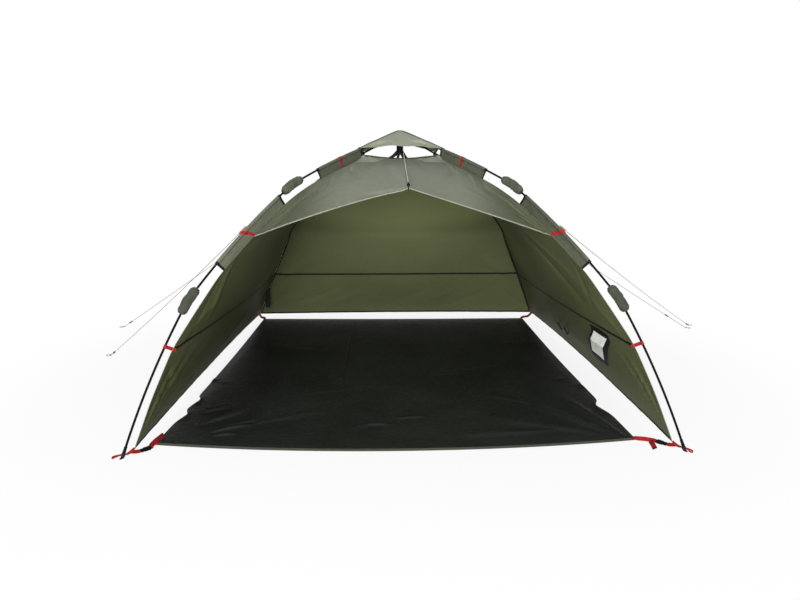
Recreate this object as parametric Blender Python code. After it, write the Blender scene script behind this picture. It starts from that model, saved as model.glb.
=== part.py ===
"""Pop-up fishing tent: four folding legs on a hub, an olive canopy, a groundsheet, straps and guy lines.

Metres, +Z up. The origin is on the ground at the centre of the tent, and -Y is the open front.
Each leg is drawn once in its own plane, as (r, z): r is the distance from the tent's axis.
"""

import math

import bmesh
import bpy
from mathutils import Matrix, Vector

# Overall size
FOOT_SPACING = 2.30
LEG_REACH = FOOT_SPACING / math.sqrt(2)
GAP = 0.0003
LEGS = {"fl": 225.0, "fr": 315.0, "rl": 135.0, "rr": 45.0}

# Joints of one leg, as (r, z), and the poles between them
HUB_HEIGHT = 1.325
HUB_PIVOT = Vector((0.045, HUB_HEIGHT))
KNUCKLE_1 = Vector((0.745, 1.072))
KNUCKLE_2 = Vector((1.299, 0.599))
FOOT = Vector((LEG_REACH, 0.0))
POLE_RADIUS = 0.0048
POLE_BOW = 0.018
POLE_POINTS = 8
PIVOT_OFFSET = 0.009

# Plastic fittings on the pole ends
SOCKET_RADIUS = 0.0075
SOCKET_LENGTH = 0.020
POLE_INSET = 0.006
KNUCKLE_REACH = 0.028
EAR_RADIUS = 0.0060
EAR_THICKNESS = 0.0036
TONGUE_THICKNESS = 0.0080
KNUCKLE_PIN_RADIUS = 0.0024
FOOT_TIP_LENGTH = 0.060
FOOT_TIP_RADIUS = 0.0080
FOOT_TIP_OVERRUN = 0.012
FOOT_TIP_NECK = 0.016
FOOT_TIP_SHOULDER = 0.024

# Hub: a slotted disc on a slotted core, with a wire ring that the four hub eyes turn on
HUB_RADIUS = 0.054
HUB_CROWN = 0.0115
HUB_DISC_DEPTH = 0.0335
HUB_CORE_LENGTH = 0.048
HUB_TOP = HUB_HEIGHT + HUB_CROWN
HUB_DISC_BOTTOM = HUB_TOP - HUB_DISC_DEPTH
HUB_BOTTOM = HUB_DISC_BOTTOM - HUB_CORE_LENGTH
HUB_CORE_RADIUS = 0.0205
HUB_SLOT = 0.0112
HUB_SLOT_START = 0.028
CORE_GROOVE = (0.0040, 0.0050)
RING_RADIUS = 0.0030
RING_SIDES = 32
EYE_THICKNESS = 0.0100
EYE_RADIUS = 0.0090
EYE_BORE = 0.0037
HUB_EYE_REACH = 0.030

# Padded sleeves over the knuckles
PAD_LENGTH = 0.126
PAD_RADIUS = 0.0235
PAD_BORE = 0.0146
PAD_CROWN = [(0.80, 1.0), (0.93, 0.86), (1.0, 0.58)]
PAD_WAIST = 1.03
PAD_GRIP = (0.86, 0.82)

# Fabric channels that hold the canopy to the poles
RIDGE_DROP = 0.047
CHANNEL_BORE = 0.0062
CHANNEL_RADIUS = 0.0086
FIN_HALF = 0.0006
FIN_CLEARANCE = 0.0010
CHANNEL_SEGMENTS = 4
SEWN = 0.0003
TOP_CHANNEL = (0.300, 0.592)
MID_CHANNEL = (0.816, 1.159)
CLIP_AT = 0.4455
CLIP_WIDTH = 0.014
TAB_WIDTH = 0.022
FIN_COVER = 0.040
TAB_AT = {"fl": 0.995, "fr": 0.995, "rl": 0.870, "rr": 0.870}

# Canopy
CLOTH = 0.0012
RIDGE_GAP = 0.0012
VENT_REACH = 0.300
WALL_CELLS = (8, 9)
AWNING_CELLS = (10, 6)
FRONT_INSET = [(0.702, 0.0611), (0.548, 0.0676), (0.405, 0.0403), (0.205, 0.0404), (0.022, 0.0411)]
REAR_INSET = [(0.702, 0.0911), (0.548, 0.1236), (0.390, 0.1072), (0.200, 0.0849), (0.030, 0.0537)]
SIDE_SAG = 0.050
SIDE_HEM_LIFT = 0.050
REAR_SAG = 0.030
REAR_HEM_LIFT = 0.012
AWNING_TIP = Vector((0.015, -0.800, 1.060))
AWNING_TAB_Z = 0.842
WINDOW_Y = (-0.640, -0.470)
WINDOW_Z = (0.160, 0.348)
CAP_OVER_HUB = 0.0275
CAP_APEX = HUB_TOP + CAP_OVER_HUB
CAP_CORNER_REACH = 0.322
CAP_SAG = 0.004
CAP_HEM_LIFT = 0.014
CAP_REAR_HEM_LIFT = 0.046
CAP_CLEARANCE = 0.0006

# Groundsheet, with its four corners on the ground. Insets are measured from the feet along X and Y.
SHEET_THICKNESS = 0.0015
SHEET_INSET = {"fl": (0.105, 0.120), "fr": (0.165, 0.110), "rl": (0.085, 0.100), "rr": (0.136, 0.131)}
SHEET_EDGE_DRAW = 0.016
SHEET_FRONT_BOW = 0.091

# Webbing and buckles at the corners
WEBBING_WIDTH = 0.020
WEBBING = 0.0012
WALL_STRAP_Z = 0.422
WALL_STRAP_NECK = 0.0024
WALL_STRAP_SEAM = 0.004
BUCKLE_SET_BACK = {"fl": 0.0860, "fr": 0.0860, "rl": 0.0943, "rr": 0.1143}
BUCKLE_MOUTH = {leg: LEG_REACH - back for leg, back in BUCKLE_SET_BACK.items()}
PLUG_STRAP_LEAD = 0.003
SOCKET_STRAP_LEAD = 0.008
TAIL_INSET = {"fl": (0.087, 0.195), "fr": (0.121, 0.010)}
TAIL_END_HEIGHT = 0.0034
BUCKLE_SOCKET = (0.026, 0.026, 0.0090)
BUCKLE_WALL = 0.0018
PLUG_BODY = (0.014, 0.023, 0.0076)
PLUG_TONGUE_LENGTH = 0.017
PLUG_CLEARANCE = 0.00045
FOOT_BAND_HEIGHT = 0.014
FOOT_BAND_WIDTH = 0.012
PEG_LOOP_TURN = {"fl": -40.0, "fr": 0.0, "rl": 0.0, "rr": -40.0}
PEG_LOOP_LENGTH = 0.038
PEG_LOOP_WIDTH = 0.008
CORNER_SEAM = 0.045
VENT_STRAP_WIDTH = 0.016
VENT_STRAP_SEAM = 0.008
VENT_STRAP_TURN = 0.002
VENT_STRAP_X = (-0.052, 0.014)

# Cords
AWNING_CORD_RADIUS = 0.0016
AWNING_CORD_POINTS = 14
AWNING_CORD_SAG = 0.004
AWNING_CORD_TURN = -49.46
AWNING_CORD_LIFT = 0.018
HOOK_RADIUS = 0.0022
HOOK_SHAPE = [(-0.0045, 0.026), (-0.0055, 0.012), (-0.0065, 0.002), (-0.0055, -0.0045), (-0.0015, -0.0058), (0.0035, -0.0028)]
GUY_RADIUS = 0.00125
GUY_SAG = 0.012
GUY_POINTS = 12
GUY_LOOP_RADIUS = 0.016
GUY_LOOP_POINTS = 8
GUY_GROUND = {"fl": (-1.863, 0.168), "fr": (2.258, 0.782), "rl": (-2.106, 0.838), "rr": (2.208, 0.693)}
SLIDER_LENGTH = 0.026
SLIDER_RADIUS = 0.0048
SLIDER_FROM_END = {"fl": 0.050, "fr": 0.050, "rl": 0.060, "rr": 0.180}

COLOURS = {
    "black_plastic": ((0.012, 0.012, 0.013), 0.40),
    "fibreglass": ((0.010, 0.010, 0.011), 0.32),
    "steel": ((0.45, 0.45, 0.46), 0.30),
    "olive_fabric": ((0.072, 0.078, 0.040), 0.75),
    "grey_fabric": ((0.190, 0.205, 0.160), 0.75),
    "channel_fabric": ((0.058, 0.068, 0.048), 0.75),
    "pad_fabric": ((0.110, 0.120, 0.085), 0.85),
    "groundsheet": ((0.009, 0.010, 0.009), 0.45),
    "red_webbing": ((0.420, 0.010, 0.010), 0.70),
    "black_webbing": ((0.012, 0.012, 0.012), 0.75),
    "pale_cord": ((0.420, 0.390, 0.330), 0.70),
    "guy_cord": ((0.330, 0.250, 0.240), 0.70),
    "window": ((0.600, 0.610, 0.560), 0.30),
}


def clear_scene():
    """Remove whatever the file holds."""
    for old in list(bpy.data.objects):
        bpy.data.objects.remove(old, do_unlink=True)


def material(slot):
    """The material of one colour slot, made once."""
    found = bpy.data.materials.get(slot)
    if found:
        return found
    made = bpy.data.materials.new(slot)
    made.use_nodes = True
    shader = made.node_tree.nodes["Principled BSDF"]
    colour, roughness = COLOURS[slot]
    shader.inputs["Base Color"].default_value = (*colour, 1.0)
    shader.inputs["Roughness"].default_value = roughness
    shader.inputs["Metallic"].default_value = 1.0 if slot == "steel" else 0.0
    return made


def show(name, data, slot):
    """Put a mesh or curve in the scene as one named piece."""
    made = bpy.data.objects.new(name, data)
    bpy.context.scene.collection.objects.link(made)
    if not data.materials:
        data.materials.append(material(slot))
    return made


def mesh_of(bm, smooth=True):
    """Finish a bmesh as mesh data with its faces pointing out."""
    bmesh.ops.recalc_face_normals(bm, faces=bm.faces)
    data = bpy.data.meshes.new("mesh")
    bm.to_mesh(data)
    bm.free()
    if smooth:
        data.shade_smooth()
        data.set_sharp_from_angle(angle=math.radians(35))
    return data


def combine(first, second, operation):
    """Join or cut two closed meshes with an exact Boolean, and return the new mesh."""
    base = bpy.data.objects.new("base", first)
    tool = bpy.data.objects.new("tool", second)
    for o in (base, tool):
        bpy.context.scene.collection.objects.link(o)
    change = base.modifiers.new("combine", "BOOLEAN")
    change.operation = operation
    change.object = tool
    evaluated = base.evaluated_get(bpy.context.evaluated_depsgraph_get())
    result = bpy.data.meshes.new_from_object(evaluated)
    for o in (base, tool):
        bpy.data.objects.remove(o, do_unlink=True)
    return result


def fuse(parts):
    """Closed meshes that overlap, joined into one body."""
    whole = parts[0]
    for data in parts[1:]:
        whole = combine(whole, data, "UNION")
    return whole


# Shapes


def bridge(bm, one, two):
    """Faces between two rings of points, where either ring may be a single point."""
    count = max(len(one), len(two))
    for k in range(count):
        n = (k + 1) % count
        corners = [one[k % len(one)], one[n % len(one)], two[n % len(two)], two[k % len(two)]]
        bm.faces.new(list(dict.fromkeys(corners)))


def ring_points(centre, axis, radius, sides):
    """Points of a circle about an axis."""
    axis = axis.normalized()
    across = axis.orthogonal().normalized()
    other = axis.cross(across)
    turns = [2 * math.pi * k / sides for k in range(sides)]
    return [centre + (across * math.cos(a) + other * math.sin(a)) * radius for a in turns]


def lathe(origin, axis, profile, sides=10):
    """A closed turned shape: profile is (radius, distance along the axis), and both ends have radius 0."""
    axis = axis.normalized()
    bm = bmesh.new()
    rings = []
    for radius, along in profile:
        places = ring_points(origin + axis * along, axis, radius, sides) if radius else [origin + axis * along]
        rings.append([bm.verts.new(p) for p in places])
    for one, two in zip(rings, rings[1:]):
        bridge(bm, one, two)
    return mesh_of(bm)


def turned_ring(origin, axis, loop, sides):
    """A closed turned ring: loop is a closed outline of (radius, distance along the axis)."""
    axis = axis.normalized()
    bm = bmesh.new()
    rings = [[bm.verts.new(p) for p in ring_points(origin + axis * along, axis, radius, sides)] for radius, along in loop]
    for one, two in zip(rings, rings[1:] + rings[:1]):
        bridge(bm, one, two)
    return mesh_of(bm)


def swept(places, radii, sides=8):
    """A closed round bar along points. radii is one radius, or one for each point."""
    bm = bmesh.new()
    rings = []
    for k, place in enumerate(places):
        ahead = places[min(k + 1, len(places) - 1)] - places[max(k - 1, 0)]
        radius = radii[k] if isinstance(radii, list) else radii
        across = Vector((0, 1, 0))
        other = ahead.normalized().cross(across)
        turns = [2 * math.pi * (n + 0.5) / sides for n in range(sides)]
        rings.append([bm.verts.new(place + (across * math.cos(a) + other * math.sin(a)) * radius) for a in turns])
    for one, two in zip(rings, rings[1:]):
        bridge(bm, one, two)
    bm.faces.new(rings[0])
    bm.faces.new(rings[-1])
    return mesh_of(bm)


def prism(outline, low, high):
    """A closed prism: outline is a list of 3-D points, moved by the vectors low and high."""
    bm = bmesh.new()
    one = [bm.verts.new(p + low) for p in outline]
    two = [bm.verts.new(p + high) for p in outline]
    bm.faces.new(one)
    bm.faces.new(two)
    for k in range(len(outline)):
        n = (k + 1) % len(outline)
        bm.faces.new((one[k], one[n], two[n], two[k]))
    return mesh_of(bm)


def block(centre, size, along=Vector((1, 0, 0)), up=Vector((0, 0, 1))):
    """A box of size (along, across, up)."""
    along = along.normalized()
    across = up.cross(along).normalized()
    up = along.cross(across)
    half = [s / 2 for s in size]
    corners = [(-1, -1), (1, -1), (1, 1), (-1, 1)]
    outline = [centre + along * (a * half[0]) + across * (b * half[1]) for a, b in corners]
    return prism(outline, up * -half[2], up * half[2])


def hull_outline(points):
    """The convex outline of points in the leg's plane, in order."""
    ordered = sorted((p.x, p.y) for p in points)

    def chain(run):
        kept = []
        for p in run:
            while len(kept) > 1:
                (ax, ay), (bx, by) = kept[-2], kept[-1]
                if (bx - ax) * (p[1] - ay) - (by - ay) * (p[0] - ax) > 1e-12:
                    break
                kept.pop()
            kept.append(p)
        return kept[:-1]

    return [Vector((x, 0, z)) for x, z in chain(ordered) + chain(ordered[::-1])]


def circle(centre, radius, sides=12):
    """Points round a circle in the leg's plane."""
    turns = [2 * math.pi * (k + 0.5) / sides for k in range(sides)]
    return [centre + Vector((math.cos(a), math.sin(a))) * radius for a in turns]


def ribbon(path, across, width, thickness=WEBBING):
    """Flat webbing along path. across is its width's direction, one for all points or one for each."""
    bm = bmesh.new()
    rings = []
    for k, point in enumerate(path):
        ahead = (path[min(k + 1, len(path) - 1)] - path[max(k - 1, 0)]).normalized()
        side = across[k] if isinstance(across, list) else across
        side = (side - ahead * side.dot(ahead)).normalized() * width / 2
        up = ahead.cross(side).normalized() * thickness / 2
        rings.append([bm.verts.new(point + a * side + b * up) for a, b in ((-1, -1), (1, -1), (1, 1), (-1, 1))])
    for one, two in zip(rings, rings[1:]):
        for k in range(4):
            bm.faces.new((one[k], one[(k + 1) % 4], two[(k + 1) % 4], two[k]))
    bm.faces.new(rings[0])
    bm.faces.new(rings[-1])
    return mesh_of(bm)


def tube(name, lines, radius, slot):
    """Round cord or pole along one or more lines of points."""
    data = bpy.data.curves.new(name, "CURVE")
    data.dimensions = "3D"
    data.bevel_depth = radius
    data.bevel_resolution = 2
    data.use_fill_caps = True
    for line in lines:
        spline = data.splines.new("POLY")
        spline.points.add(len(line) - 1)
        for point, place in zip(spline.points, line):
            point.co = (*place, 1.0)
    return show(name, data, slot)


def cloth(surface, us, vs, hole=(), thickness=CLOTH):
    """A closed thin sheet over surface(u, v). hole holds (column, row) of the cells to leave open."""
    step = 1e-4
    bm = bmesh.new()
    front, back = {}, {}
    for i, u in enumerate(us):
        for j, v in enumerate(vs):
            du = surface(min(u + step, 1), v) - surface(max(u - step, 0), v)
            dv = surface(u, min(v + step, 1)) - surface(u, max(v - step, 0))
            lift = du.cross(dv).normalized() * thickness / 2
            middle = surface(u, v)
            front[i, j] = bm.verts.new(middle + lift)
            back[i, j] = bm.verts.new(middle - lift)
    uses = {}
    for i in range(len(us) - 1):
        for j in range(len(vs) - 1):
            if (i, j) in hole:
                continue
            cell = [(i, j), (i + 1, j), (i + 1, j + 1), (i, j + 1)]
            for half in (cell[:3], [cell[0], *cell[2:]]):
                bm.faces.new([front[c] for c in half])
                bm.faces.new([back[c] for c in reversed(half)])
            for a, b in zip(cell, cell[1:] + cell[:1]):
                uses[frozenset((a, b))] = [] if frozenset((a, b)) in uses else [a, b]
    for edge in uses.values():
        if edge:
            a, b = edge
            bm.faces.new((front[a], back[a], back[b], front[b]))
    loose = [v for v in bm.verts if not v.link_faces]
    bmesh.ops.delete(bm, geom=loose, context="VERTS")
    return mesh_of(bm)


def spread(count):
    """count + 1 even values from 0 to 1."""
    return [k / count for k in range(count + 1)]


# The leg's own plane


def bowed(a, b, t):
    """A point on a pole between a and b, which bows outwards by POLE_BOW at its middle."""
    run = b - a
    out = Vector((-run.y, run.x)).normalized()
    return a + run * t + out * (4 * POLE_BOW * t * (1 - t))


MEMBERS = {"top": (HUB_PIVOT, KNUCKLE_1), "mid": (KNUCKLE_1, KNUCKLE_2), "low": (KNUCKLE_2, FOOT)}


def on_pole(member, t):
    """The centre, direction and outward normal of a pole at t, from 0 to 1."""
    a, b = MEMBERS[member]
    ahead = (bowed(a, b, t + 0.001) - bowed(a, b, t - 0.001)).normalized()
    return bowed(a, b, t), ahead, Vector((-ahead.y, ahead.x))


def share(member, metres):
    """A distance along a member as a share of its length."""
    a, b = MEMBERS[member]
    return metres / (b - a).length


def t_at_reach(member, r):
    """Where on a pole its centre lies r from the tent's axis."""
    low, high = 0.0, 1.0
    for _ in range(40):
        middle = (low + high) / 2
        if on_pole(member, middle)[0].x < r:
            low = middle
        else:
            high = middle
    return low


def t_at_height(member, z):
    """Where on a pole its centre lies at a height."""
    low, high = 0.0, 1.0
    for _ in range(40):
        middle = (low + high) / 2
        if on_pole(member, middle)[0].y > z:
            low = middle
        else:
            high = middle
    return low


KNUCKLE_OUT = {
    1: (on_pole("top", 1)[2] + on_pole("mid", 0)[2]).normalized(),
    2: (on_pole("mid", 1)[2] + on_pole("low", 0)[2]).normalized(),
}
PIVOTS = {
    "top": HUB_PIVOT,
    "mid": KNUCKLE_1 + KNUCKLE_OUT[1] * PIVOT_OFFSET,
    "low": KNUCKLE_2 - KNUCKLE_OUT[2] * PIVOT_OFFSET,
}


def flat(point, lateral=0.0):
    """A point of the leg's plane in three dimensions."""
    return Vector((point.x, lateral, point.y))


def to_world(leg, point):
    """A leg-plane point, or a 3-D point of the leg's frame, in the tent's frame."""
    place = flat(point) if len(point) == 2 else point
    return Matrix.Rotation(math.radians(LEGS[leg]), 3, "Z") @ place


def put(made, leg, pivot):
    """Stand a piece that was drawn in the leg's frame on its leg, with its origin on its joint."""
    made.location = to_world(leg, pivot)
    made.rotation_euler.z = math.radians(LEGS[leg])
    return made


def from_pivot(data, pivot):
    """Move mesh data so that its origin is the pivot."""
    data.transform(Matrix.Translation(-flat(pivot)))
    return data


# Poles and their fittings


def pole_bar(member, reach_start, reach_end):
    """The round pole of a member, from inside one socket to inside the other."""
    first = share(member, reach_start + POLE_INSET)
    final = 1 - share(member, reach_end + POLE_INSET)
    places = [flat(on_pole(member, first + (final - first) * k / (POLE_POINTS - 1))[0]) for k in range(POLE_POINTS)]
    return swept(places, POLE_RADIUS)


def socket(member, at_end, reach):
    """The sleeve bonded on a pole end, with the point and direction where it starts."""
    t = 1 - share(member, reach) if at_end else share(member, reach)
    start, ahead, _ = on_pole(member, t)
    axis = -ahead if at_end else ahead
    profile = [(0, 0), (SOCKET_RADIUS, 0), (SOCKET_RADIUS, SOCKET_LENGTH), (0, SOCKET_LENGTH)]
    return lathe(flat(start), flat(axis), profile), start, axis


def plate_to(start, axis, pivot, radius, low, high):
    """A flat plate from a round end about the pivot into a socket."""
    side = Vector((-axis.y, axis.x)) * (SOCKET_RADIUS * 0.8)
    root = start + axis * POLE_INSET
    outline = hull_outline(circle(pivot, radius) + [root + side, root - side])
    return prism(outline, Vector((0, low, 0)), Vector((0, high, 0)))


def pin_hole(data, pivot, radius):
    """Bore a plate for its pin."""
    half = Vector((0, 0.05, 0))
    return combine(data, prism(hull_outline(circle(pivot, radius)), -half, half), "DIFFERENCE")


def eye(member, reach, pivot, radius, thickness, bore):
    """A flat eye on the socket at a pole's upper end: a hub eye or a knuckle's tongue."""
    sleeve, start, axis = socket(member, False, reach)
    plate = plate_to(start, axis, pivot, radius, -thickness / 2, thickness / 2)
    return fuse([sleeve, pin_hole(plate, pivot, bore)])


def fork(member, pivot):
    """Two ears on the socket at a pole's lower end, with the pin pressed into them."""
    sleeve, start, axis = socket(member, True, KNUCKLE_REACH)
    inner = TONGUE_THICKNESS / 2 + GAP
    outer = inner + EAR_THICKNESS
    parts = [sleeve]
    for low, high in ((inner, outer), (-outer, -inner)):
        parts.append(plate_to(start, axis, pivot, EAR_RADIUS, low, high))
    half = Vector((0, outer - SEWN, 0))
    parts.append(prism(hull_outline(circle(pivot, KNUCKLE_PIN_RADIUS)), -half, half))
    return fuse(parts)


def foot_tip():
    """The plastic tip, cut flat where it stands on the ground."""
    start, ahead, _ = on_pole("low", 1 - share("low", FOOT_TIP_LENGTH - FOOT_TIP_OVERRUN))
    profile = [
        (0, 0),
        (SOCKET_RADIUS, 0),
        (SOCKET_RADIUS, FOOT_TIP_NECK),
        (FOOT_TIP_RADIUS, FOOT_TIP_SHOULDER),
        (FOOT_TIP_RADIUS, FOOT_TIP_LENGTH),
        (0, FOOT_TIP_LENGTH),
    ]
    tip = lathe(flat(start), flat(ahead), profile)
    ground = block(Vector((LEG_REACH, 0, -0.05)), (0.2, 0.2, 0.1))
    return combine(tip, ground, "DIFFERENCE")


def leg_poles():
    """The three poles of one leg with their fittings, each drawn in the leg's frame."""
    tongue = (EAR_RADIUS, TONGUE_THICKNESS, KNUCKLE_PIN_RADIUS + GAP)
    hub_eye = eye("top", HUB_EYE_REACH, HUB_PIVOT, EYE_RADIUS, EYE_THICKNESS, EYE_BORE)
    tongue_1 = eye("mid", KNUCKLE_REACH, PIVOTS["mid"], *tongue)
    tongue_2 = eye("low", KNUCKLE_REACH, PIVOTS["low"], *tongue)
    foot_reach = FOOT_TIP_LENGTH - FOOT_TIP_OVERRUN - 2 * POLE_INSET
    return {
        "top": fuse([pole_bar("top", HUB_EYE_REACH, KNUCKLE_REACH), hub_eye, fork("top", PIVOTS["mid"])]),
        "mid": fuse([pole_bar("mid", KNUCKLE_REACH, KNUCKLE_REACH), tongue_1, fork("mid", PIVOTS["low"])]),
        "low": fuse([pole_bar("low", KNUCKLE_REACH, foot_reach), tongue_2, foot_tip()]),
    }


# Fabric on the poles


def sleeve_channel(member, reach):
    """A fabric tube round a pole, with a fin down to the canopy's ridge."""
    first, last = (t_at_reach(member, r) for r in reach)
    depth = RIDGE_DROP - FIN_CLEARANCE
    root = CHANNEL_RADIUS - SEWN
    turns = [math.radians(-62 + 304 * k / 7) for k in range(8)]
    outer = [(FIN_HALF, -depth), (FIN_HALF, -root)]
    outer += [(CHANNEL_RADIUS * math.cos(a), CHANNEL_RADIUS * math.sin(a)) for a in turns]
    outer += [(-FIN_HALF, -root), (-FIN_HALF, -depth)]
    inner_turns = [math.radians(-84), math.radians(-78), *turns, math.radians(258), math.radians(264)]
    inner = [(CHANNEL_BORE * math.cos(a), CHANNEL_BORE * math.sin(a)) for a in inner_turns]
    bm = bmesh.new()
    rings = []
    for k in range(CHANNEL_SEGMENTS + 1):
        centre, _, out = on_pole(member, first + (last - first) * k / CHANNEL_SEGMENTS)
        rings.append([[bm.verts.new(flat(centre + out * up, side)) for side, up in shape] for shape in (outer, inner)])
    for one, two in zip(rings, rings[1:]):
        for layer in (0, 1):
            bridge(bm, one[layer], two[layer])
    for shapes in (rings[0], rings[-1]):
        bridge(bm, *shapes)
    return mesh_of(bm)


def round_pole(centre, ahead, out, path, width):
    """Webbing round a pole: path is (lateral, outward) in the plane square to the pole."""
    return ribbon([flat(centre + out * up, side) for side, up in path], flat(ahead), width)


def wrap(member, r, width, drop):
    """Webbing sewn over a channel and down both sides of its fin."""
    centre, ahead, out = on_pole(member, t_at_reach(member, r))
    around = CHANNEL_RADIUS + WEBBING / 2 - SEWN
    turns = [math.radians(-50 + 280 * k / 8) for k in range(9)]
    side = FIN_HALF + WEBBING / 2 - SEWN
    path = [(side, -drop)]
    path += [(around * math.cos(a), around * math.sin(a)) for a in turns]
    path += [(-side, -drop)]
    return round_pole(centre, ahead, out, path, width)


def pad(number):
    """A padded sleeve over one knuckle, which grips the pole at both ends."""
    upper, lower = ("top", "mid") if number == 1 else ("mid", "low")
    half = PAD_LENGTH / 2
    lean = PIVOT_OFFSET / 2 * (1 if number == 1 else -1)

    def place(along, push=0.0):
        member = upper if along < 0 else lower
        t = 1 + share(member, along * half) if along < 0 else share(member, along * half)
        centre, _, out = on_pole(member, t)
        if along == 0:
            out = KNUCKLE_OUT[number]
        return flat(centre + out * push)

    shape = [(-a, w) for a, w in reversed(PAD_CROWN)] + [(0.0, PAD_WAIST)] + PAD_CROWN
    outer = swept([place(a) for a, _ in shape], [PAD_RADIUS * w for _, w in shape], 10)
    grip = (POLE_RADIUS + GAP) / math.cos(math.pi / 12)
    tight, loose = PAD_GRIP
    bore = [(-1.1, grip, 0), (-tight, grip, 0), (-loose, PAD_BORE, lean), (0.0, PAD_BORE, lean)]
    bore += [(-a, radius, push) for a, radius, push in reversed(bore[:-1])]
    inner = swept([place(a, push) for a, _, push in bore], [radius for _, radius, _ in bore], 12)
    return combine(outer, inner, "DIFFERENCE")


# Canopy


def ridge(edge):
    """The line where the canopy hangs from one leg, rim first, as evenly spaced (r, z)."""
    first = t_at_reach("top", VENT_REACH)
    raw = []
    for member, start, end in (("top", first, 0.90), ("mid", 0.09, t_at_reach("mid", MID_CHANNEL[1]))):
        for k in range(9):
            centre, _, out = on_pole(member, start + (end - start) * k / 8)
            raw.append(centre - out * RIDGE_DROP)
    for z, inset in edge:
        member = "mid" if z > KNUCKLE_2.y else "low"
        if z < raw[-1].y:
            raw.append(Vector((on_pole(member, t_at_height(member, z))[0].x - inset, z)))
    lengths = [0.0]
    for a, b in zip(raw, raw[1:]):
        lengths.append(lengths[-1] + (b - a).length)
    line = []
    count = 96
    for k in range(count + 1):
        want = lengths[-1] * k / count
        n = max(i for i in range(len(raw) - 1) if lengths[i] <= want or i == 0)
        line.append(raw[n].lerp(raw[n + 1], (want - lengths[n]) / (lengths[n + 1] - lengths[n])))
    soft = [line[0]]
    for k in range(1, count):
        soft.append(line[k - 1] / 4 + line[k] / 2 + line[k + 1] / 4)
    return soft + [line[-1]]


RIDGES = {"front": ridge(FRONT_INSET), "rear": ridge(REAR_INSET)}


def on_ridge(which, v):
    """The ridge's point at v, from 0 at the vent rim to 1 at the ground."""
    line = RIDGES[which]
    place = v * (len(line) - 1)
    n = min(int(place), len(line) - 2)
    return line[n].lerp(line[n + 1], place - n)


def v_at_height(which, z):
    """Where on the ridge its height is z."""
    low, high = 0.0, 1.0
    for _ in range(40):
        middle = (low + high) / 2
        if on_ridge(which, middle).y > z:
            low = middle
        else:
            high = middle
    return low


def ridge_place(leg, v, side):
    """A ridge point in the tent's frame, just off the leg's plane, on side 1 or -1."""
    point = on_ridge("front" if leg[0] == "f" else "rear", v)
    return to_world(leg, flat(point, side * RIDGE_GAP))


def wall_surface(one, two, sag, lift):
    """The surface of a wall between two legs. u goes from one to two, which lies anticlockwise of it."""

    def surface(u, v):
        a = ridge_place(one, v, 1)
        b = ridge_place(two, v, -1)
        inward = -Vector((a.x + b.x, a.y + b.y, 0)).normalized()
        across = 4 * u * (1 - u)
        pull = sag * across * math.sin(math.pi * min(v * 1.05, 1)) ** 0.8 if v > 0 else 0
        pull += 0.6 * sag * across * v * v
        rise = Vector((0, 0, lift * across * max(0.0, v - 0.7) / 0.3))
        return a.lerp(b, u) + inward * pull + rise

    return surface


def awning_surface(u, v):
    """The front panel, whose lower edge is drawn up to a peak at its middle."""
    reach = v_at_height("front", AWNING_TAB_Z)
    a = ridge_place("fl", reach * v, 1)
    b = ridge_place("fr", reach * v, -1)
    lower = (ridge_place("fl", reach, 1) + ridge_place("fr", reach, -1)) / 2
    peak = 1 - abs(2 * u - 1)
    soft = 4 * u * (1 - u)
    blend = peak * v + soft * (1 - v)
    return a.lerp(b, u) + (AWNING_TIP - lower) * blend * v**1.4


def cap_surface(u, v):
    """The cap: u runs round its four sides, v from the apex to the hem, whose corners lie on the channels."""
    side = min(int(u * 4), 3)
    part = u * 4 - side
    pole, _, out = on_pole("top", t_at_reach("top", CAP_CORNER_REACH))
    corner = Vector((CAP_CORNER_REACH, pole.y + (CHANNEL_RADIUS + CAP_CLEARANCE) / out.y + CLOTH))
    corners = [Matrix.Rotation(math.radians(45 + 90 * (side + k)), 3, "Z") @ flat(corner) for k in (0, 1)]
    hem = corners[0].lerp(corners[1], part)
    across = 4 * part * (1 - part)
    apex = Vector((0, 0, CAP_APEX))
    place = apex.lerp(hem, v)
    lift = CAP_REAR_HEM_LIFT if side == 0 else CAP_HEM_LIFT
    return place + Vector((0, 0, (lift * v * v - CAP_SAG * v * (1 - v) * 4) * across))


def cap_shell():
    """The cap as a thin closed shell."""
    around, rows = 24, [0.0, 0.16, 0.44, 0.72, 1.0]
    bm = bmesh.new()
    layers = []
    for drop in (0.0, CLOTH):
        rings = []
        for v in rows:
            if v == 0:
                rings.append([bm.verts.new(cap_surface(0, 0) - Vector((0, 0, drop)))])
                continue
            rings.append([bm.verts.new(cap_surface(k / around, v) - Vector((0, 0, drop))) for k in range(around)])
        layers.append(rings)
    for rings in layers:
        for one, two in zip(rings, rings[1:]):
            for k in range(around):
                n = (k + 1) % around
                corners = [one[k % len(one)], one[n % len(one)], two[n], two[k]]
                bm.faces.new(list(dict.fromkeys(corners)))
    for k in range(around):
        n = (k + 1) % around
        bm.faces.new((layers[0][-1][k], layers[0][-1][n], layers[1][-1][n], layers[1][-1][k]))
    return mesh_of(bm)


def window_cells(us, vs, span_u, span_v):
    """The cells of a wall's grid that the window takes."""
    columns = [i for i in range(len(us) - 1) if span_u[0] - 1e-9 <= us[i] and us[i + 1] <= span_u[1] + 1e-9]
    rows = [j for j in range(len(vs) - 1) if span_v[0] - 1e-9 <= vs[j] and vs[j + 1] <= span_v[1] + 1e-9]
    return {(i, j) for i in columns for j in rows}


def window_span():
    """The window's place on the right wall, as u and v."""
    spans_v = [v_at_height("front", z) for z in (WINDOW_Z[1], WINDOW_Z[0])]
    middle = sum(spans_v) / 2
    a, b = ridge_place("fr", middle, 1), ridge_place("rr", middle, -1)
    return [(y - a.y) / (b.y - a.y) for y in WINDOW_Y], spans_v


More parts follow.
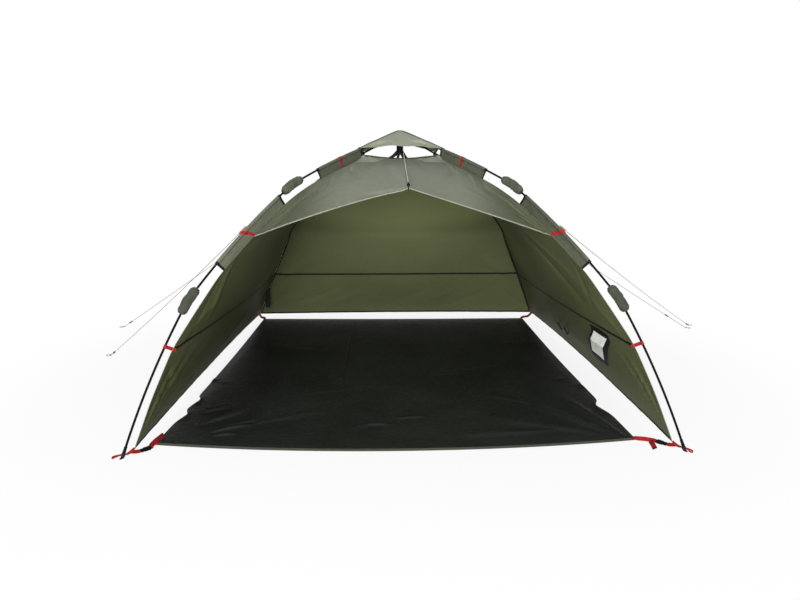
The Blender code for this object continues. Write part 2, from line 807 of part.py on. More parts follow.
def with_lines(values, extra):
    """Grid values with extra lines put in, and near neighbours of those lines left out."""
    kept = [x for x in values if all(abs(x - e) > 0.018 for e in extra) or x in (0.0, 1.0)]
    return sorted(kept + list(extra))


def wall_strap(leg, side):
    """Webbing from a wall's edge, round the low pole."""
    which = "front" if leg[0] == "f" else "rear"
    centre, ahead, out = on_pole("low", t_at_height("low", WALL_STRAP_Z))
    near, far = 0.0, 1.0
    for _ in range(40):
        v = (near + far) / 2
        if (on_ridge(which, v) - centre).dot(ahead) < 0:
            near = v
        else:
            far = v
    drop = (centre - on_ridge(which, v)).dot(out) + WALL_STRAP_SEAM
    around = (POLE_RADIUS + GAP) / math.cos(math.pi / 8) + WEBBING / 2
    turns = [math.radians(-50 + 285 * k / 8) for k in range(9)]
    path = [(RIDGE_GAP, -drop), (RIDGE_GAP, -around - WALL_STRAP_NECK)]
    path += [(around * math.cos(a), around * math.sin(a)) for a in turns]
    strap = round_pole(centre, ahead, out, [(x * side, y) for x, y in path], WEBBING_WIDTH * 0.75)
    strap.transform(Matrix.Rotation(math.radians(LEGS[leg]), 4, "Z"))
    return strap


def corner_strap(leg, side):
    """Webbing from the buckle's plug up to a wall's bottom corner."""
    corner = on_ridge("front" if leg[0] == "f" else "rear", 1.0)
    begin = Vector((BUCKLE_MOUTH[leg] + GAP + PLUG_BODY[0] + GAP, 0, buckle_height()))
    shift = side * (WEBBING_WIDTH * 0.45 + 0.0008)
    end = Vector((corner.x - 0.003, shift, corner.y + 0.006))
    straight = begin + Vector((PLUG_STRAP_LEAD, 0, 0))
    strap = ribbon([begin, straight, straight.lerp(end, 0.5), end], Vector((0, 1, 0)), WEBBING_WIDTH * 0.9)
    strap.transform(Matrix.Rotation(math.radians(LEGS[leg]), 4, "Z"))
    return strap


def canopy():
    """Awning, walls with the webbing sewn to them, window and cap, and the vent straps."""
    columns, rows = (spread(count) for count in WALL_CELLS)
    show("front_awning", cloth(awning_surface, *(spread(count) for count in AWNING_CELLS)), "grey_fabric")
    left = wall_surface("rl", "fl", SIDE_SAG, SIDE_HEM_LIFT)
    right = wall_surface("fr", "rr", SIDE_SAG, SIDE_HEM_LIFT)
    rear = wall_surface("rr", "rl", REAR_SAG, REAR_HEM_LIFT)
    left_webbing = [f(leg, side) for leg, side in (("rl", 1), ("fl", -1)) for f in (wall_strap, corner_strap)]
    right_webbing = [f(leg, side) for leg, side in (("fr", 1), ("rr", -1)) for f in (wall_strap, corner_strap)]
    show("left_wall", fuse([cloth(left, columns, rows), *left_webbing]), "olive_fabric")
    show("rear_wall", cloth(rear, columns, rows), "olive_fabric")
    span_u, span_v = window_span()
    us, vs = with_lines(columns, span_u), with_lines(rows, span_v)
    panel = cloth(right, us, vs, window_cells(us, vs, span_u, span_v))
    show("right_wall", fuse([panel, *right_webbing]), "olive_fabric")
    show("side_window", window_pane(right, span_u, span_v), "window")
    show("cap_cover", cap_shell(), "grey_fabric")
    vent_straps(awning_surface, rear)


def window_pane(surface, span_u, span_v):
    """The window, on the wall's own surface, a little smaller than its opening."""
    a, b = surface(span_u[0], span_v[0]), surface(span_u[1], span_v[0])
    inset = 0.0006 / (b - a).length

    def pane(u, v):
        across = inset + (1 - 2 * inset) * u
        down = inset + (1 - 2 * inset) * v
        return surface(
            span_u[0] + (span_u[1] - span_u[0]) * across,
            span_v[0] + (span_v[1] - span_v[0]) * down,
        )

    return cloth(pane, spread(4), spread(4))


# Hub and what hangs from it


def hub():
    """The hub: a disc with a slot for each eye, a ring groove, and a grooved core below."""
    turns = [math.radians(22.5 + 45 * k) for k in range(8)]
    disc = [Vector((math.cos(a), math.sin(a), 0)) * HUB_RADIUS for a in turns]
    core = [Vector((math.cos(a), math.sin(a), 0)) * HUB_CORE_RADIUS for a in turns]
    lift = Vector((0, 0, 1))
    body = fuse([
        prism(disc, lift * HUB_DISC_BOTTOM, lift * HUB_TOP),
        prism(core, lift * HUB_BOTTOM, lift * (HUB_DISC_BOTTOM + POLE_INSET)),
    ])
    inner, outer = HUB_PIVOT.x - RING_RADIUS - GAP, HUB_PIVOT.x + RING_RADIUS + GAP
    floor = HUB_PIVOT.y - RING_RADIUS - GAP
    groove = [(inner, floor), (outer, floor), (outer, HUB_TOP + 0.01), (inner, HUB_TOP + 0.01)]
    body = combine(body, turned_ring(Vector((0, 0, 0)), lift, groove, RING_SIDES), "DIFFERENCE")
    for leg in LEGS:
        ahead = to_world(leg, Vector((1, 0)))
        middle = lift * (HUB_TOP + HUB_DISC_BOTTOM) / 2
        slot = block(ahead * (HUB_SLOT_START + HUB_RADIUS / 2) + middle, (HUB_RADIUS, HUB_SLOT, 0.06), ahead)
        body = combine(body, slot, "DIFFERENCE")
        wide, deep = CORE_GROOVE
        low = lift * (HUB_BOTTOM + HUB_DISC_BOTTOM) / 2
        notch = block(ahead * HUB_CORE_RADIUS + low, (2 * deep, wide, HUB_DISC_BOTTOM - HUB_BOTTOM + 0.0001), ahead)
        body = combine(body, notch, "DIFFERENCE")
    show("hub_body", body, "black_plastic")
    section = [2 * math.pi * k / 6 for k in range(6)]
    loop = [(HUB_PIVOT.x + RING_RADIUS * math.cos(a), HUB_PIVOT.y + RING_RADIUS * math.sin(a)) for a in section]
    show("hub_ring", turned_ring(Vector((0, 0, 0)), lift, loop, RING_SIDES), "steel")


def on_cloth(surface, u, columns, rows, down, lift):
    """A point on the top row of a panel's flat cells, down metres below its upper edge and raised by lift."""
    column = min(int(u * columns), columns - 1)
    part = u * columns - column
    upper = [surface((column + k) / columns, 0.0) for k in (0, 1)]
    lower = [surface((column + k) / columns, 1.0 / rows) for k in (0, 1)]
    top, bottom = upper[0].lerp(upper[1], part), lower[0].lerp(lower[1], part)
    up = (upper[1] - upper[0]).cross(bottom - top).normalized()
    if up.z < 0:
        up = -up
    return top + (bottom - top).normalized() * down + up * lift


def vent_straps(front, rear):
    """Two webbing straps that cross under the hub and reach the vent rim, front and rear."""
    parts = []
    lift = (CLOTH + WEBBING) / 2 + 4 * GAP
    for number, x in enumerate(VENT_STRAP_X):
        rim_front, rim_rear = front(0.5, 0.0), rear(0.5, 0.0)
        half_width = abs(front(0.0, 0.0).x)
        u = 0.5 + x / (2 * half_width)
        level = HUB_BOTTOM - WEBBING / 2 - GAP - number * SEWN * 1.5
        away = Vector((x, rim_front.y, 0)).normalized() * (HUB_CORE_RADIUS + VENT_STRAP_TURN)
        turn_front = Vector((away.x, away.y, level))
        turn_rear = Vector((-away.x, -away.y, level))
        path = [
            on_cloth(front, u, *AWNING_CELLS, VENT_STRAP_SEAM, lift),
            on_cloth(front, u, *AWNING_CELLS, VENT_STRAP_TURN, lift),
            turn_front,
            turn_rear,
            on_cloth(rear, u, *WALL_CELLS, VENT_STRAP_TURN, lift),
            on_cloth(rear, u, *WALL_CELLS, VENT_STRAP_SEAM, lift),
        ]
        parts.append(ribbon(path, Vector((-away.y, away.x, 0)), VENT_STRAP_WIDTH))
    show("vent_straps", fuse(parts), "black_webbing")


def awning_cord():
    """The cord from the hub's core to the awning's tip, and its hook."""
    tip = AWNING_TIP
    tube("cord_hook", [[tip + Vector((0, y, z)) for y, z in HOOK_SHAPE]], HOOK_RADIUS, "black_plastic")
    turn = math.radians(AWNING_CORD_TURN)
    side = Vector((math.cos(turn), math.sin(turn), 0))
    start = side * (HUB_CORE_RADIUS + AWNING_CORD_RADIUS) + Vector((0, 0, HUB_BOTTOM + AWNING_CORD_LIFT))
    end = tip + Vector((0, HOOK_SHAPE[0][0] + HOOK_RADIUS + 2 * GAP, HOOK_SHAPE[0][1] - HOOK_RADIUS))
    points = []
    for k in range(AWNING_CORD_POINTS):
        t = k / (AWNING_CORD_POINTS - 1)
        points.append(start.lerp(end, t) - Vector((0, 0, AWNING_CORD_SAG * 4 * t * (1 - t))))
    tube("awning_cord", [points], AWNING_CORD_RADIUS, "pale_cord")


# Ground level


def buckle_height():
    """The middle height of a buckle that lies on the ground."""
    return BUCKLE_SOCKET[2] / 2 + GAP


def inside_foot(leg, inset):
    """A point on the ground, inset from a foot towards the middle along X and Y."""
    foot = to_world(leg, FOOT)
    return Vector((foot.x - math.copysign(inset[0], foot.x), foot.y - math.copysign(inset[1], foot.y), 0))


def sheet_corner(leg):
    """A groundsheet corner, on the ground."""
    return inside_foot(leg, SHEET_INSET[leg])


def groundsheet():
    """The groundsheet, flat below, with slightly drawn-in edges and webbing sewn to its corners."""
    middle = Vector((0, 0, 0))

    def surface(u, v):
        front = sheet_corner("fl").lerp(sheet_corner("fr"), u)
        front.y -= SHEET_FRONT_BOW * 4 * u * (1 - u)
        back = sheet_corner("rl").lerp(sheet_corner("rr"), u)
        place = front.lerp(back, v)
        draw = max(4 * u * (1 - u) * abs(2 * v - 1) ** 6, 4 * v * (1 - v) * abs(2 * u - 1) ** 6)
        inward = (middle - place).normalized() if place.length > 1e-6 else middle
        return place + inward * SHEET_EDGE_DRAW * draw + Vector((0, 0, SHEET_THICKNESS / 2))

    parts = [cloth(surface, spread(6), spread(6), thickness=SHEET_THICKNESS)]
    for leg in LEGS:
        corner = sheet_corner(leg)
        ahead, across = to_world(leg, Vector((1, 0, 0))), to_world(leg, Vector((0, 1, 0)))
        sewn = Vector((0, 0, SHEET_THICKNESS + WEBBING / 2 - SEWN))
        high = Vector((0, 0, buckle_height()))
        end = ahead * (BUCKLE_MOUTH[leg] - BUCKLE_SOCKET[0] - GAP) + high
        inside = corner - corner.normalized() * CORNER_SEAM
        edge = corner - corner.normalized() * 0.004
        straight = end - ahead * SOCKET_STRAP_LEAD
        parts.append(ribbon([inside + sewn, edge + sewn, straight, end], across, WEBBING_WIDTH * 0.9))
        if leg in TAIL_INSET:
            tail = inside_foot(leg, TAIL_INSET[leg]) + Vector((0, 0, TAIL_END_HEIGHT))
            root = edge.lerp(end, 0.35) + Vector((0, 0, 0.0010))
            run = (tail - root).normalized()
            parts.append(ribbon([root, root.lerp(tail, 0.5), tail], Vector((-run.y, run.x, 0)), WEBBING_WIDTH * 0.9))
    show("groundsheet", fuse(parts), "groundsheet")


def buckles():
    """A socket at each corner, and the plug that slides out of it."""
    long, wide, tall = BUCKLE_SOCKET
    room = (long, wide - 2 * BUCKLE_WALL, tall - 2 * BUCKLE_WALL)
    for leg in LEGS:
        shell = block(Vector((-long / 2, 0, 0)), BUCKLE_SOCKET)
        inside = block(Vector((BUCKLE_WALL * 2 - long / 2, 0, 0)), room)
        body_long, body_wide, body_tall = PLUG_BODY
        head = block(Vector((GAP + body_long / 2, 0, 0)), PLUG_BODY)
        tongue_size = (PLUG_TONGUE_LENGTH + POLE_INSET, room[1] - 2 * PLUG_CLEARANCE, room[2] - 2 * PLUG_CLEARANCE)
        tongue = block(Vector((GAP + POLE_INSET - tongue_size[0] / 2, 0, 0)), tongue_size)
        pieces = {
            "buckle_socket": combine(shell, inside, "DIFFERENCE"),
            "buckle_plug": fuse([head, tongue]),
        }
        for name, data in pieces.items():
            made = show(f"{name}_{leg}", data, "black_plastic")
            made.location = to_world(leg, Vector((BUCKLE_MOUTH[leg], 0, buckle_height())))
            made.rotation_euler.z = math.radians(LEGS[leg])


def foot_webbing(leg):
    """A band round the foot tip, with a strap to the canopy's corner and a peg loop."""
    which = "front" if leg[0] == "f" else "rear"
    t = 1 - share("low", FOOT_BAND_HEIGHT)
    middle, ahead, _ = on_pole("low", t)
    inner = (FOOT_TIP_RADIUS + GAP) / math.cos(math.pi / 12)
    half = FOOT_BAND_WIDTH / 2
    outer = inner + 2 * WEBBING
    upright = abs(ahead.y)
    slant = PEG_LOOP_WIDTH / 2 * abs(ahead.x)
    band = turned_ring(flat(middle), flat(ahead), [(inner, -half), (outer, -half), (outer, half), (inner, half)], 12)
    lateral = Vector((0, 1, 0))
    corner = on_ridge(which, 1.0)
    begin = middle - Vector(((inner + WEBBING * 0.75) / upright, 0.002))
    end = corner + Vector((0.0040, -0.004))
    strap = ribbon([flat(begin), flat(begin.lerp(end, 0.5) - Vector((0, 0.003))), flat(end)], lateral, WEBBING_WIDTH * 0.5)
    turn = math.radians(PEG_LOOP_TURN[leg])
    out = Vector((math.cos(turn), math.sin(turn), 0))
    across = Vector((-out.y, out.x, 0))
    base = flat(middle) + out * (inner + SEWN + slant) / upright
    radius = WEBBING_WIDTH * 0.45
    level = 0.005
    path = [base + across * 0.0018, base + across * 0.0022 + out * level]
    for k in range(9):
        a = math.radians(-80 + 160 * k / 8)
        path.append(base + out * (PEG_LOOP_LENGTH - radius + radius * math.cos(a)) - across * radius * math.sin(a))
    path += [base - across * 0.0022 + out * level, base - across * 0.0018]
    drop = base.z - PEG_LOOP_WIDTH / 2 - 0.0008
    low = [p - Vector((0, 0, drop * min(1.0, max(0.0, (p - base).length - 1.1 * level) / 0.03))) for p in path]
    loop = ribbon(low, Vector((0, 0, 1)), PEG_LOOP_WIDTH)
    return from_pivot(fuse([band, strap, loop]), PIVOTS["low"])


# Guy lines


def guy_line(leg):
    """The cord's points, from the tab on the mid channel to its loop on the ground."""
    centre, _, out = on_pole("mid", t_at_reach("mid", TAB_AT[leg]))
    start = to_world(leg, centre + out * (CHANNEL_RADIUS + WEBBING + GAP + GUY_RADIUS))
    end = Vector((*GUY_GROUND[leg], GUY_RADIUS + GAP))
    run = Vector((end.x - start.x, end.y - start.y, 0)).normalized()
    side = Vector((-run.y, run.x, 0))
    touch = end - run * GUY_LOOP_RADIUS * 2
    points = []
    for k in range(GUY_POINTS):
        t = k / (GUY_POINTS - 1)
        points.append(start.lerp(touch, t) - Vector((0, 0, GUY_SAG * 4 * t * (1 - t))))
    points[-1].z = end.z
    centre = touch + run * GUY_LOOP_RADIUS
    for k in range(1, GUY_LOOP_POINTS):
        a = math.radians(180 - 310 * k / (GUY_LOOP_POINTS - 1))
        points.append(centre + (run * math.cos(a) + side * math.sin(a)) * GUY_LOOP_RADIUS)
    return points


def guys():
    """Four guy lines, each with its slider."""
    bore = (GUY_RADIUS + GAP) / math.cos(math.pi / 8)
    for leg in LEGS:
        points = guy_line(leg)
        tube(f"guy_line_{leg}", [points], GUY_RADIUS, "guy_cord")
        touch, before = points[GUY_POINTS - 1], points[GUY_POINTS - 2]
        axis = (touch - before).normalized()
        start = touch - axis * (SLIDER_FROM_END[leg] + SLIDER_LENGTH)
        loop = [(SLIDER_RADIUS, 0), (SLIDER_RADIUS, SLIDER_LENGTH), (bore, SLIDER_LENGTH), (bore, 0)]
        show(f"guy_slider_{leg}", turned_ring(start, axis, loop, 8), "black_plastic")


def legs():
    """The four legs, each piece with its origin on its joint."""
    poles = {member: from_pivot(data, PIVOTS[member]) for member, data in leg_poles().items()}
    top_channel = fuse([sleeve_channel("top", TOP_CHANNEL), wrap("top", CLIP_AT, CLIP_WIDTH, FIN_COVER)])
    from_pivot(top_channel, PIVOTS["top"])
    pads = {"upper_pad": from_pivot(pad(1), PIVOTS["mid"]), "lower_pad": from_pivot(pad(2), PIVOTS["mid"])}
    for leg in LEGS:
        for member, data in poles.items():
            put(show(f"{member}_pole_{leg}", data, "fibreglass"), leg, PIVOTS[member])
        put(show(f"top_channel_{leg}", top_channel, "channel_fabric"), leg, PIVOTS["top"])
        tab = wrap("mid", TAB_AT[leg], TAB_WIDTH, FIN_COVER)
        channel = from_pivot(fuse([sleeve_channel("mid", MID_CHANNEL), tab]), PIVOTS["mid"])
        put(show(f"mid_channel_{leg}", channel, "channel_fabric"), leg, PIVOTS["mid"])
        for name, data in pads.items():
            put(show(f"{name}_{leg}", data, "pad_fabric"), leg, PIVOTS["mid"])
        put(show(f"foot_strap_{leg}", foot_webbing(leg), "red_webbing"), leg, PIVOTS["low"])


clear_scene()
hub()
legs()
canopy()
awning_cord()
groundsheet()
buckles()
guys()
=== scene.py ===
"""Pop-up fishing tent, dressed: canopy, channels, padded sleeves, webbing, cords and groundsheet.

Metres, +Z up, -Y towards the open front. Each leg is drawn in its own plane as (r, z),
where r is the distance from the tent's axis, and then turned to its place.
"""

import math

import bmesh
import bpy
import numpy as np
from mathutils import Matrix, Vector


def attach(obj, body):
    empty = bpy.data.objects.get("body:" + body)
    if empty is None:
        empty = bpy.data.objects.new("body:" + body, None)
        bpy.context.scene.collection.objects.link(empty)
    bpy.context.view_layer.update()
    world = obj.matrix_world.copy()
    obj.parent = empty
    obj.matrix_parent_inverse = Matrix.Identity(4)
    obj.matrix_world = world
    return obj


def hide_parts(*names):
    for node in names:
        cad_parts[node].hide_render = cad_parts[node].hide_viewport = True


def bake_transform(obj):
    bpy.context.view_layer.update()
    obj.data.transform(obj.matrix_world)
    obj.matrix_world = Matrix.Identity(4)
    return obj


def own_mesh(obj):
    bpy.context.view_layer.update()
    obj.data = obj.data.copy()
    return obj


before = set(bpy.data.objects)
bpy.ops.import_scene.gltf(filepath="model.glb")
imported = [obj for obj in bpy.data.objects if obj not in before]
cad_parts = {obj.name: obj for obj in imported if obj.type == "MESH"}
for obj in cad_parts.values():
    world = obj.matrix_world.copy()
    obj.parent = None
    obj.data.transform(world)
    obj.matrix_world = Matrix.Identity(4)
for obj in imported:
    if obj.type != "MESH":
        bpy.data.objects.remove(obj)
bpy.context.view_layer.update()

# Sizes of the frame, as in the part's source
FOOT_SPACING = 2.30
LEG_REACH = FOOT_SPACING / math.sqrt(2)
GAP = 0.0003
LEGS = {"fl": 225.0, "fr": 315.0, "rl": 135.0, "rr": 45.0}
HUB_PIVOT = Vector((0.045, 1.325))
KNUCKLE_1 = Vector((0.745, 1.072))
KNUCKLE_2 = Vector((1.299, 0.599))
FOOT = Vector((LEG_REACH, 0.0))
POLE_RADIUS = 0.0048
POLE_BOW = 0.018
PIVOT_OFFSET = 0.009
SOCKET_RADIUS, SOCKET_LENGTH = 0.0075, 0.020
POLE_INSET = 0.006
KNUCKLE_REACH = 0.028
FOOT_TIP_LENGTH, FOOT_TIP_RADIUS, FOOT_TIP_OVERRUN = 0.060, 0.0068, 0.012
HUB_TOP, HUB_BOTTOM = 1.3365, 1.255
HUB_CORE_RADIUS = 0.0205
HUB_EYE_REACH = 0.030
PAD_LENGTH, PAD_RADIUS = 0.126, 0.0222
RIDGE_DROP = 0.047
CHANNEL_RADIUS = 0.0086
FIN_CLEARANCE = 0.0010
CHANNEL_SPAN = {"top": (0.300, 0.592), "mid": (0.816, 1.159)}
CLIP_AT = 0.4455
TAB_AT = {"fl": 0.995, "fr": 0.995, "rl": 0.870, "rr": 0.870}
RIDGE_GAP = 0.0012
VENT_REACH = 0.300
FRONT_INSET = [(0.702, 0.0611), (0.548, 0.0676), (0.405, 0.0403), (0.205, 0.0404), (0.022, 0.0411)]
REAR_INSET = [(0.702, 0.0911), (0.548, 0.1236), (0.390, 0.1072), (0.200, 0.0849), (0.030, 0.0537)]
SIDE_SAG, SIDE_HEM_LIFT = 0.050, 0.050
REAR_SAG, REAR_HEM_LIFT = 0.030, 0.012
SEAM = 0.80  # the grid row that runs along the seam across the walls
SEAM_HEIGHT = {"f": 0.400, "r": 0.385}
AWNING_TIP = Vector((0.015, -0.800, 1.060))
AWNING_TAB_Z = 0.842
WINDOW_U, WINDOW_V = (0.196, 0.264), (0.800, 0.914)
WINDOW_LEAN = 0.052
CAP_APEX = 1.364
CAP_CORNER_REACH = 0.322
CAP_SIDE = 0.455
CAP_SAG = 0.004
CAP_HEM_LIFT, CAP_REAR_HEM_LIFT = 0.014, 0.046
SHEET_INSET = {"fl": (0.083, 0.109), "fr": (0.157, 0.100), "rl": (0.085, 0.100), "rr": (0.136, 0.131)}
SHEET_EDGE_DRAW = 0.016
SHEET_FRONT_BOW = 0.091
SHEET_SIZE = 2.05
WEBBING_WIDTH, WEBBING = 0.020, 0.0012
WALL_STRAP_Z = 0.422
BUCKLE_SET_BACK = {"fl": 0.0860, "fr": 0.0860, "rl": 0.0943, "rr": 0.1143}
BUCKLE_MOUTH = {leg: LEG_REACH - back for leg, back in BUCKLE_SET_BACK.items()}
BUCKLE_SOCKET, PLUG_BODY = (0.026, 0.026, 0.0090), (0.014, 0.023, 0.0076)
BUCKLE_HEIGHT = BUCKLE_SOCKET[2] / 2 + GAP
PLUG_TONGUE_LENGTH = 0.017
TAIL_ROOT = {"fl": (0.080, 0.084), "fr": (0.114, 0.063)}
TAIL_INSET = {"fl": (0.092, 0.183), "fr": (0.124, 0.006)}
FOOT_BAND_HEIGHT = 0.014
PEG_LOOP_TURN = {"fl": -40.0, "fr": 0.0, "rl": 0.0, "rr": -40.0}
PEG_LOOP_LENGTH = {"fl": 0.036, "fr": 0.027, "rl": 0.038, "rr": 0.038}
PEG_LOOP_LEAN = {"fl": 62, "fr": -30, "rl": 10, "rr": 10}
PEG_LOOP_WIDTH = 0.0065
VENT_STRAPS = ((-0.052, 0.030), (0.014, 0.016))  # place along the rim and width
AWNING_CORD_RADIUS = 0.0019
AWNING_CORD_TURN = -49.46
AWNING_CORD_LIFT = 0.018
AWNING_CORD_SAG = 0.004
HOOK_RADIUS = 0.0022
HOOK_SHAPE = [(-0.0045, 0.026), (-0.0055, 0.012), (-0.0065, 0.002)]
HOOK_SHAPE += [(-0.0055, -0.0045), (-0.0015, -0.0058), (0.0035, -0.0028)]
GUY_RADIUS = 0.0015
GUY_SAG = 0.012
GUY_POINTS = 12
GUY_LOOP_RADIUS, GUY_LOOP_POINTS = 0.016, 8
GUY_GROUND = {"fl": (-1.863, 0.168), "fr": (2.258, 0.782), "rl": (-2.106, 0.838), "rr": (2.208, 0.693)}
TWIST_LENGTH = 0.062
SLIDER_LENGTH, SLIDER_RADIUS = 0.026, 0.0048
SLIDER_FROM_END = {"fl": 0.050, "fr": 0.050, "rl": 0.060, "rr": 0.180}

CLOTH_HALF = 0.0004
FINE = 1.0
AHEAD, ASIDE, RISE = Vector((1, 0, 0)), Vector((0, 1, 0)), Vector((0, 0, 1))
WALLS_BY_LEG = (("rl", 1, "left_wall"), ("fl", -1, "left_wall"), ("fr", 1, "right_wall"), ("rr", -1, "right_wall"))


# Small sums


def hump(t):
    """0 at both ends of 0 to 1, and 1 in the middle."""
    return 4 * t * (1 - t)


def steps(count):
    return [k / (count - 1) for k in range(count)]


def angles(first, sweep, count):
    """Radians from first, over sweep, in count steps; both are given in degrees."""
    return [math.radians(first + sweep * k / count) for k in range(count + 1)]


def circle(sides):
    return angles(0, 360, sides)[:-1]


def bisect(under):
    """The largest value from 0 to 1 for which under is true, where it is true first and false after."""
    low, high = 0.0, 1.0
    for _ in range(40):
        middle = (low + high) / 2
        low, high = (middle, high) if under(middle) else (low, middle)
    return low


# The leg's own plane

MEMBERS = {"top": (HUB_PIVOT, KNUCKLE_1), "mid": (KNUCKLE_1, KNUCKLE_2), "low": (KNUCKLE_2, FOOT)}


def bowed(member, t):
    a, b = MEMBERS[member]
    run = b - a
    return a + run * t + Vector((-run.y, run.x)).normalized() * (POLE_BOW * hump(t))


def on_pole(member, t):
    """The centre, direction and outward normal of a pole at t, from 0 to 1."""
    ahead = (bowed(member, t + 0.001) - bowed(member, t - 0.001)).normalized()
    return bowed(member, t), ahead, Vector((-ahead.y, ahead.x))


def share(member, metres):
    a, b = MEMBERS[member]
    return metres / (b - a).length


def t_at_reach(member, r):
    return bisect(lambda t: on_pole(member, t)[0].x < r)


def t_at_height(member, z):
    return bisect(lambda t: on_pole(member, t)[0].y > z)


def knuckle_out(upper, lower):
    return (on_pole(upper, 1)[2] + on_pole(lower, 0)[2]).normalized()


PIVOTS = {
    "top": HUB_PIVOT,
    "mid": KNUCKLE_1 + knuckle_out("top", "mid") * PIVOT_OFFSET,
    "low": KNUCKLE_2 - knuckle_out("mid", "low") * PIVOT_OFFSET,
}


def flat(point, lateral=0.0):
    return Vector((point.x, lateral, point.y))


def turned(leg, vector):
    """A vector or point of the leg's frame, in the tent's frame."""
    place = flat(vector) if len(vector) == 2 else vector
    return Matrix.Rotation(math.radians(LEGS[leg]), 3, "Z") @ place


# Materials


def times(colour, k):
    return tuple(min(1.0, c * k) for c in colour)


class Value:
    """A node's output that can stand in sums, so that a material reads as a formula."""

    def __init__(self, nodes, output):
        self.nodes, self.output = nodes, output

    def __add__(self, other):
        return self.nodes.math("ADD", self, other)

    def __sub__(self, other):
        return self.nodes.math("SUBTRACT", self, other)

    def __mul__(self, other):
        return self.nodes.math("MULTIPLY", self, other)


class Nodes:
    """A short way to write a node tree: add(kind, {input: value or Value}, setting=value)."""

    def __init__(self, name, owner=None):
        self.material = owner or bpy.data.materials.new(name)
        self.material.use_nodes = True
        self.tree = self.material.node_tree
        self.shader = self.tree.nodes.get("Principled BSDF")

    def add(self, kind, inputs=None, out=0, **settings):
        node = self.tree.nodes.new("ShaderNode" + kind)
        for key, value in settings.items():
            setattr(node, key, value)
        for key, value in (inputs or {}).items():
            self.set(node.inputs[key], value)
        return Value(self, node.outputs[out])

    def set(self, socket, value):
        if isinstance(value, Value):
            self.tree.links.new(value.output, socket)
        else:
            socket.default_value = (*value, 1.0) if socket.type == "RGBA" and len(value) == 3 else value

    def math(self, operation, a, b=0.0):
        return self.add("Math", {0: a, 1: b}, operation=operation)

    def wave(self, value, length):
        return self.math("SINE", value * (2 * math.pi / length))

    def remap(self, value, low, high, to_low=0.0, to_high=1.0):
        inputs = {"Value": value, "From Min": low, "From Max": high, "To Min": to_low, "To Max": to_high}
        return self.add("MapRange", inputs, interpolation_type="SMOOTHSTEP")

    def mix(self, factor, a, b):
        node = self.tree.nodes.new("ShaderNodeMix")
        node.data_type = "RGBA"
        for key, value in ((0, factor), (6, a), (7, b)):
            self.set(node.inputs[key], value)
        return Value(self, node.outputs[2])

    def noise(self, where, scale, detail=2.0, rough=0.5):
        return self.add("TexNoise", {"Vector": where, "Scale": scale, "Detail": detail, "Roughness": rough})

    def stretched(self, where, scale):
        return self.add("VectorMath", {0: where, 1: scale}, operation="MULTIPLY")

    def flat(self):
        """The attribute "flat" and its three parts."""
        spot = self.add("Attribute", out=1, attribute_name="flat")
        node = self.tree.nodes.new("ShaderNodeSeparateXYZ")
        self.set(node.inputs[0], spot)
        return spot, *(Value(self, output) for output in node.outputs)

    def weave(self, x, y, size):
        return self.wave(x, size) * self.wave(y, size)

    def row(self, distance, at, half):
        """1 where distance is within half of at."""
        return self.math("LESS_THAN", self.math("ABSOLUTE", distance - at), half)

    def dashes(self, x, y, length, above=-0.35):
        return self.math("GREATER_THAN", self.wave(x + y, length), above)

    def finish(self, colour, height, strength, distance, rough, **plain):
        bump = self.add("Bump", {"Strength": strength, "Distance": distance, "Height": height})
        for key, value in (("Base Color", colour), ("Roughness", rough), ("Normal", bump), *plain.items()):
            self.set(self.shader.inputs[key.replace("_", " ").title().replace("Ior", "IOR")], value)
        return self.material


def cloth_material(name, colour, worn, thread, sheen=0.05, rough=(0.50, 0.66), blotch=0.10, level=0.30, **more):
    """Coated woven cloth. The attribute "flat" holds (across, down, distance to the nearest seam) in metres."""
    n = Nodes(name)
    spot, x, y, edge = n.flat()
    wide = n.noise(spot, 1.6, 3.0, 0.55)
    fine = n.noise(n.stretched(spot, (1.0, 1.0, 0.0)), 34.0, 4.0, 0.6)
    base = n.mix(n.remap(wide, 0.30, 0.70), times(colour, 1 - blotch), times(colour, 1 + blotch))
    base = n.mix(n.remap(fine, 0.40, 0.75) * 0.22, base, worn)
    # Threads, over one, under one
    threads = n.weave(x, y, 0.0011) * 0.5 + 0.5
    base = n.mix(threads * 0.16, base, times(colour, 0.55))
    # Two rows of stitches beside each seam, and slightly rubbed cloth along it
    rows = n.math("MAXIMUM", n.row(edge, 0.0098, 0.00055), n.row(edge, 0.0032, 0.00055))
    stitch = n.dashes(x, y, 0.0046) * rows
    base = n.mix(n.remap(edge, 0.012, 0.0) * n.remap(fine, 0.35, 0.65) * 0.35, base, worn)
    base = n.mix(stitch, base, thread)
    if "corner_shade" in more:
        # Painted shade: darker towards the two lower corners, where the cloth turns away from the light
        near, far, top, low, depth = more["corner_shade"]
        corner = n.remap(n.math("ABSOLUTE", x), near, far) * n.remap(y, top, low)
        base = n.mix(corner * depth, base, (0.042, 0.051, 0.022))
    if "thin" in more:
        # Painted light: paler at the top, standing in for daylight through the cloth, on the side walls towards their
        # rear edge, and painted shade a little darker near the ground
        start, end, low, rear = more["thin"]
        pale = n.remap(y, end, start)
        if rear:
            pale = pale * n.remap(x * rear, -0.05, 0.50)
        base = n.mix(pale * 0.62, base, times(colour, 2.05))
        base = n.mix(n.remap(y, end - 0.10, low) * 0.35, base, times(colour, 0.5))
    pucker = n.remap(edge, 0.030, 0.004) * n.noise(n.stretched(spot, (60.0, 60.0, 0.0)), 1.0)
    height = threads * 0.22 + fine * 0.5 + pucker * 1.3 + stitch * 0.7
    roughness = n.remap(wide, 0.25, 0.75, *rough)
    looks = {"sheen_weight": sheen, "sheen_roughness": 0.45, "specular_ior_level": level}
    return n.finish(base, height, 0.35, 0.0009, roughness, **looks)


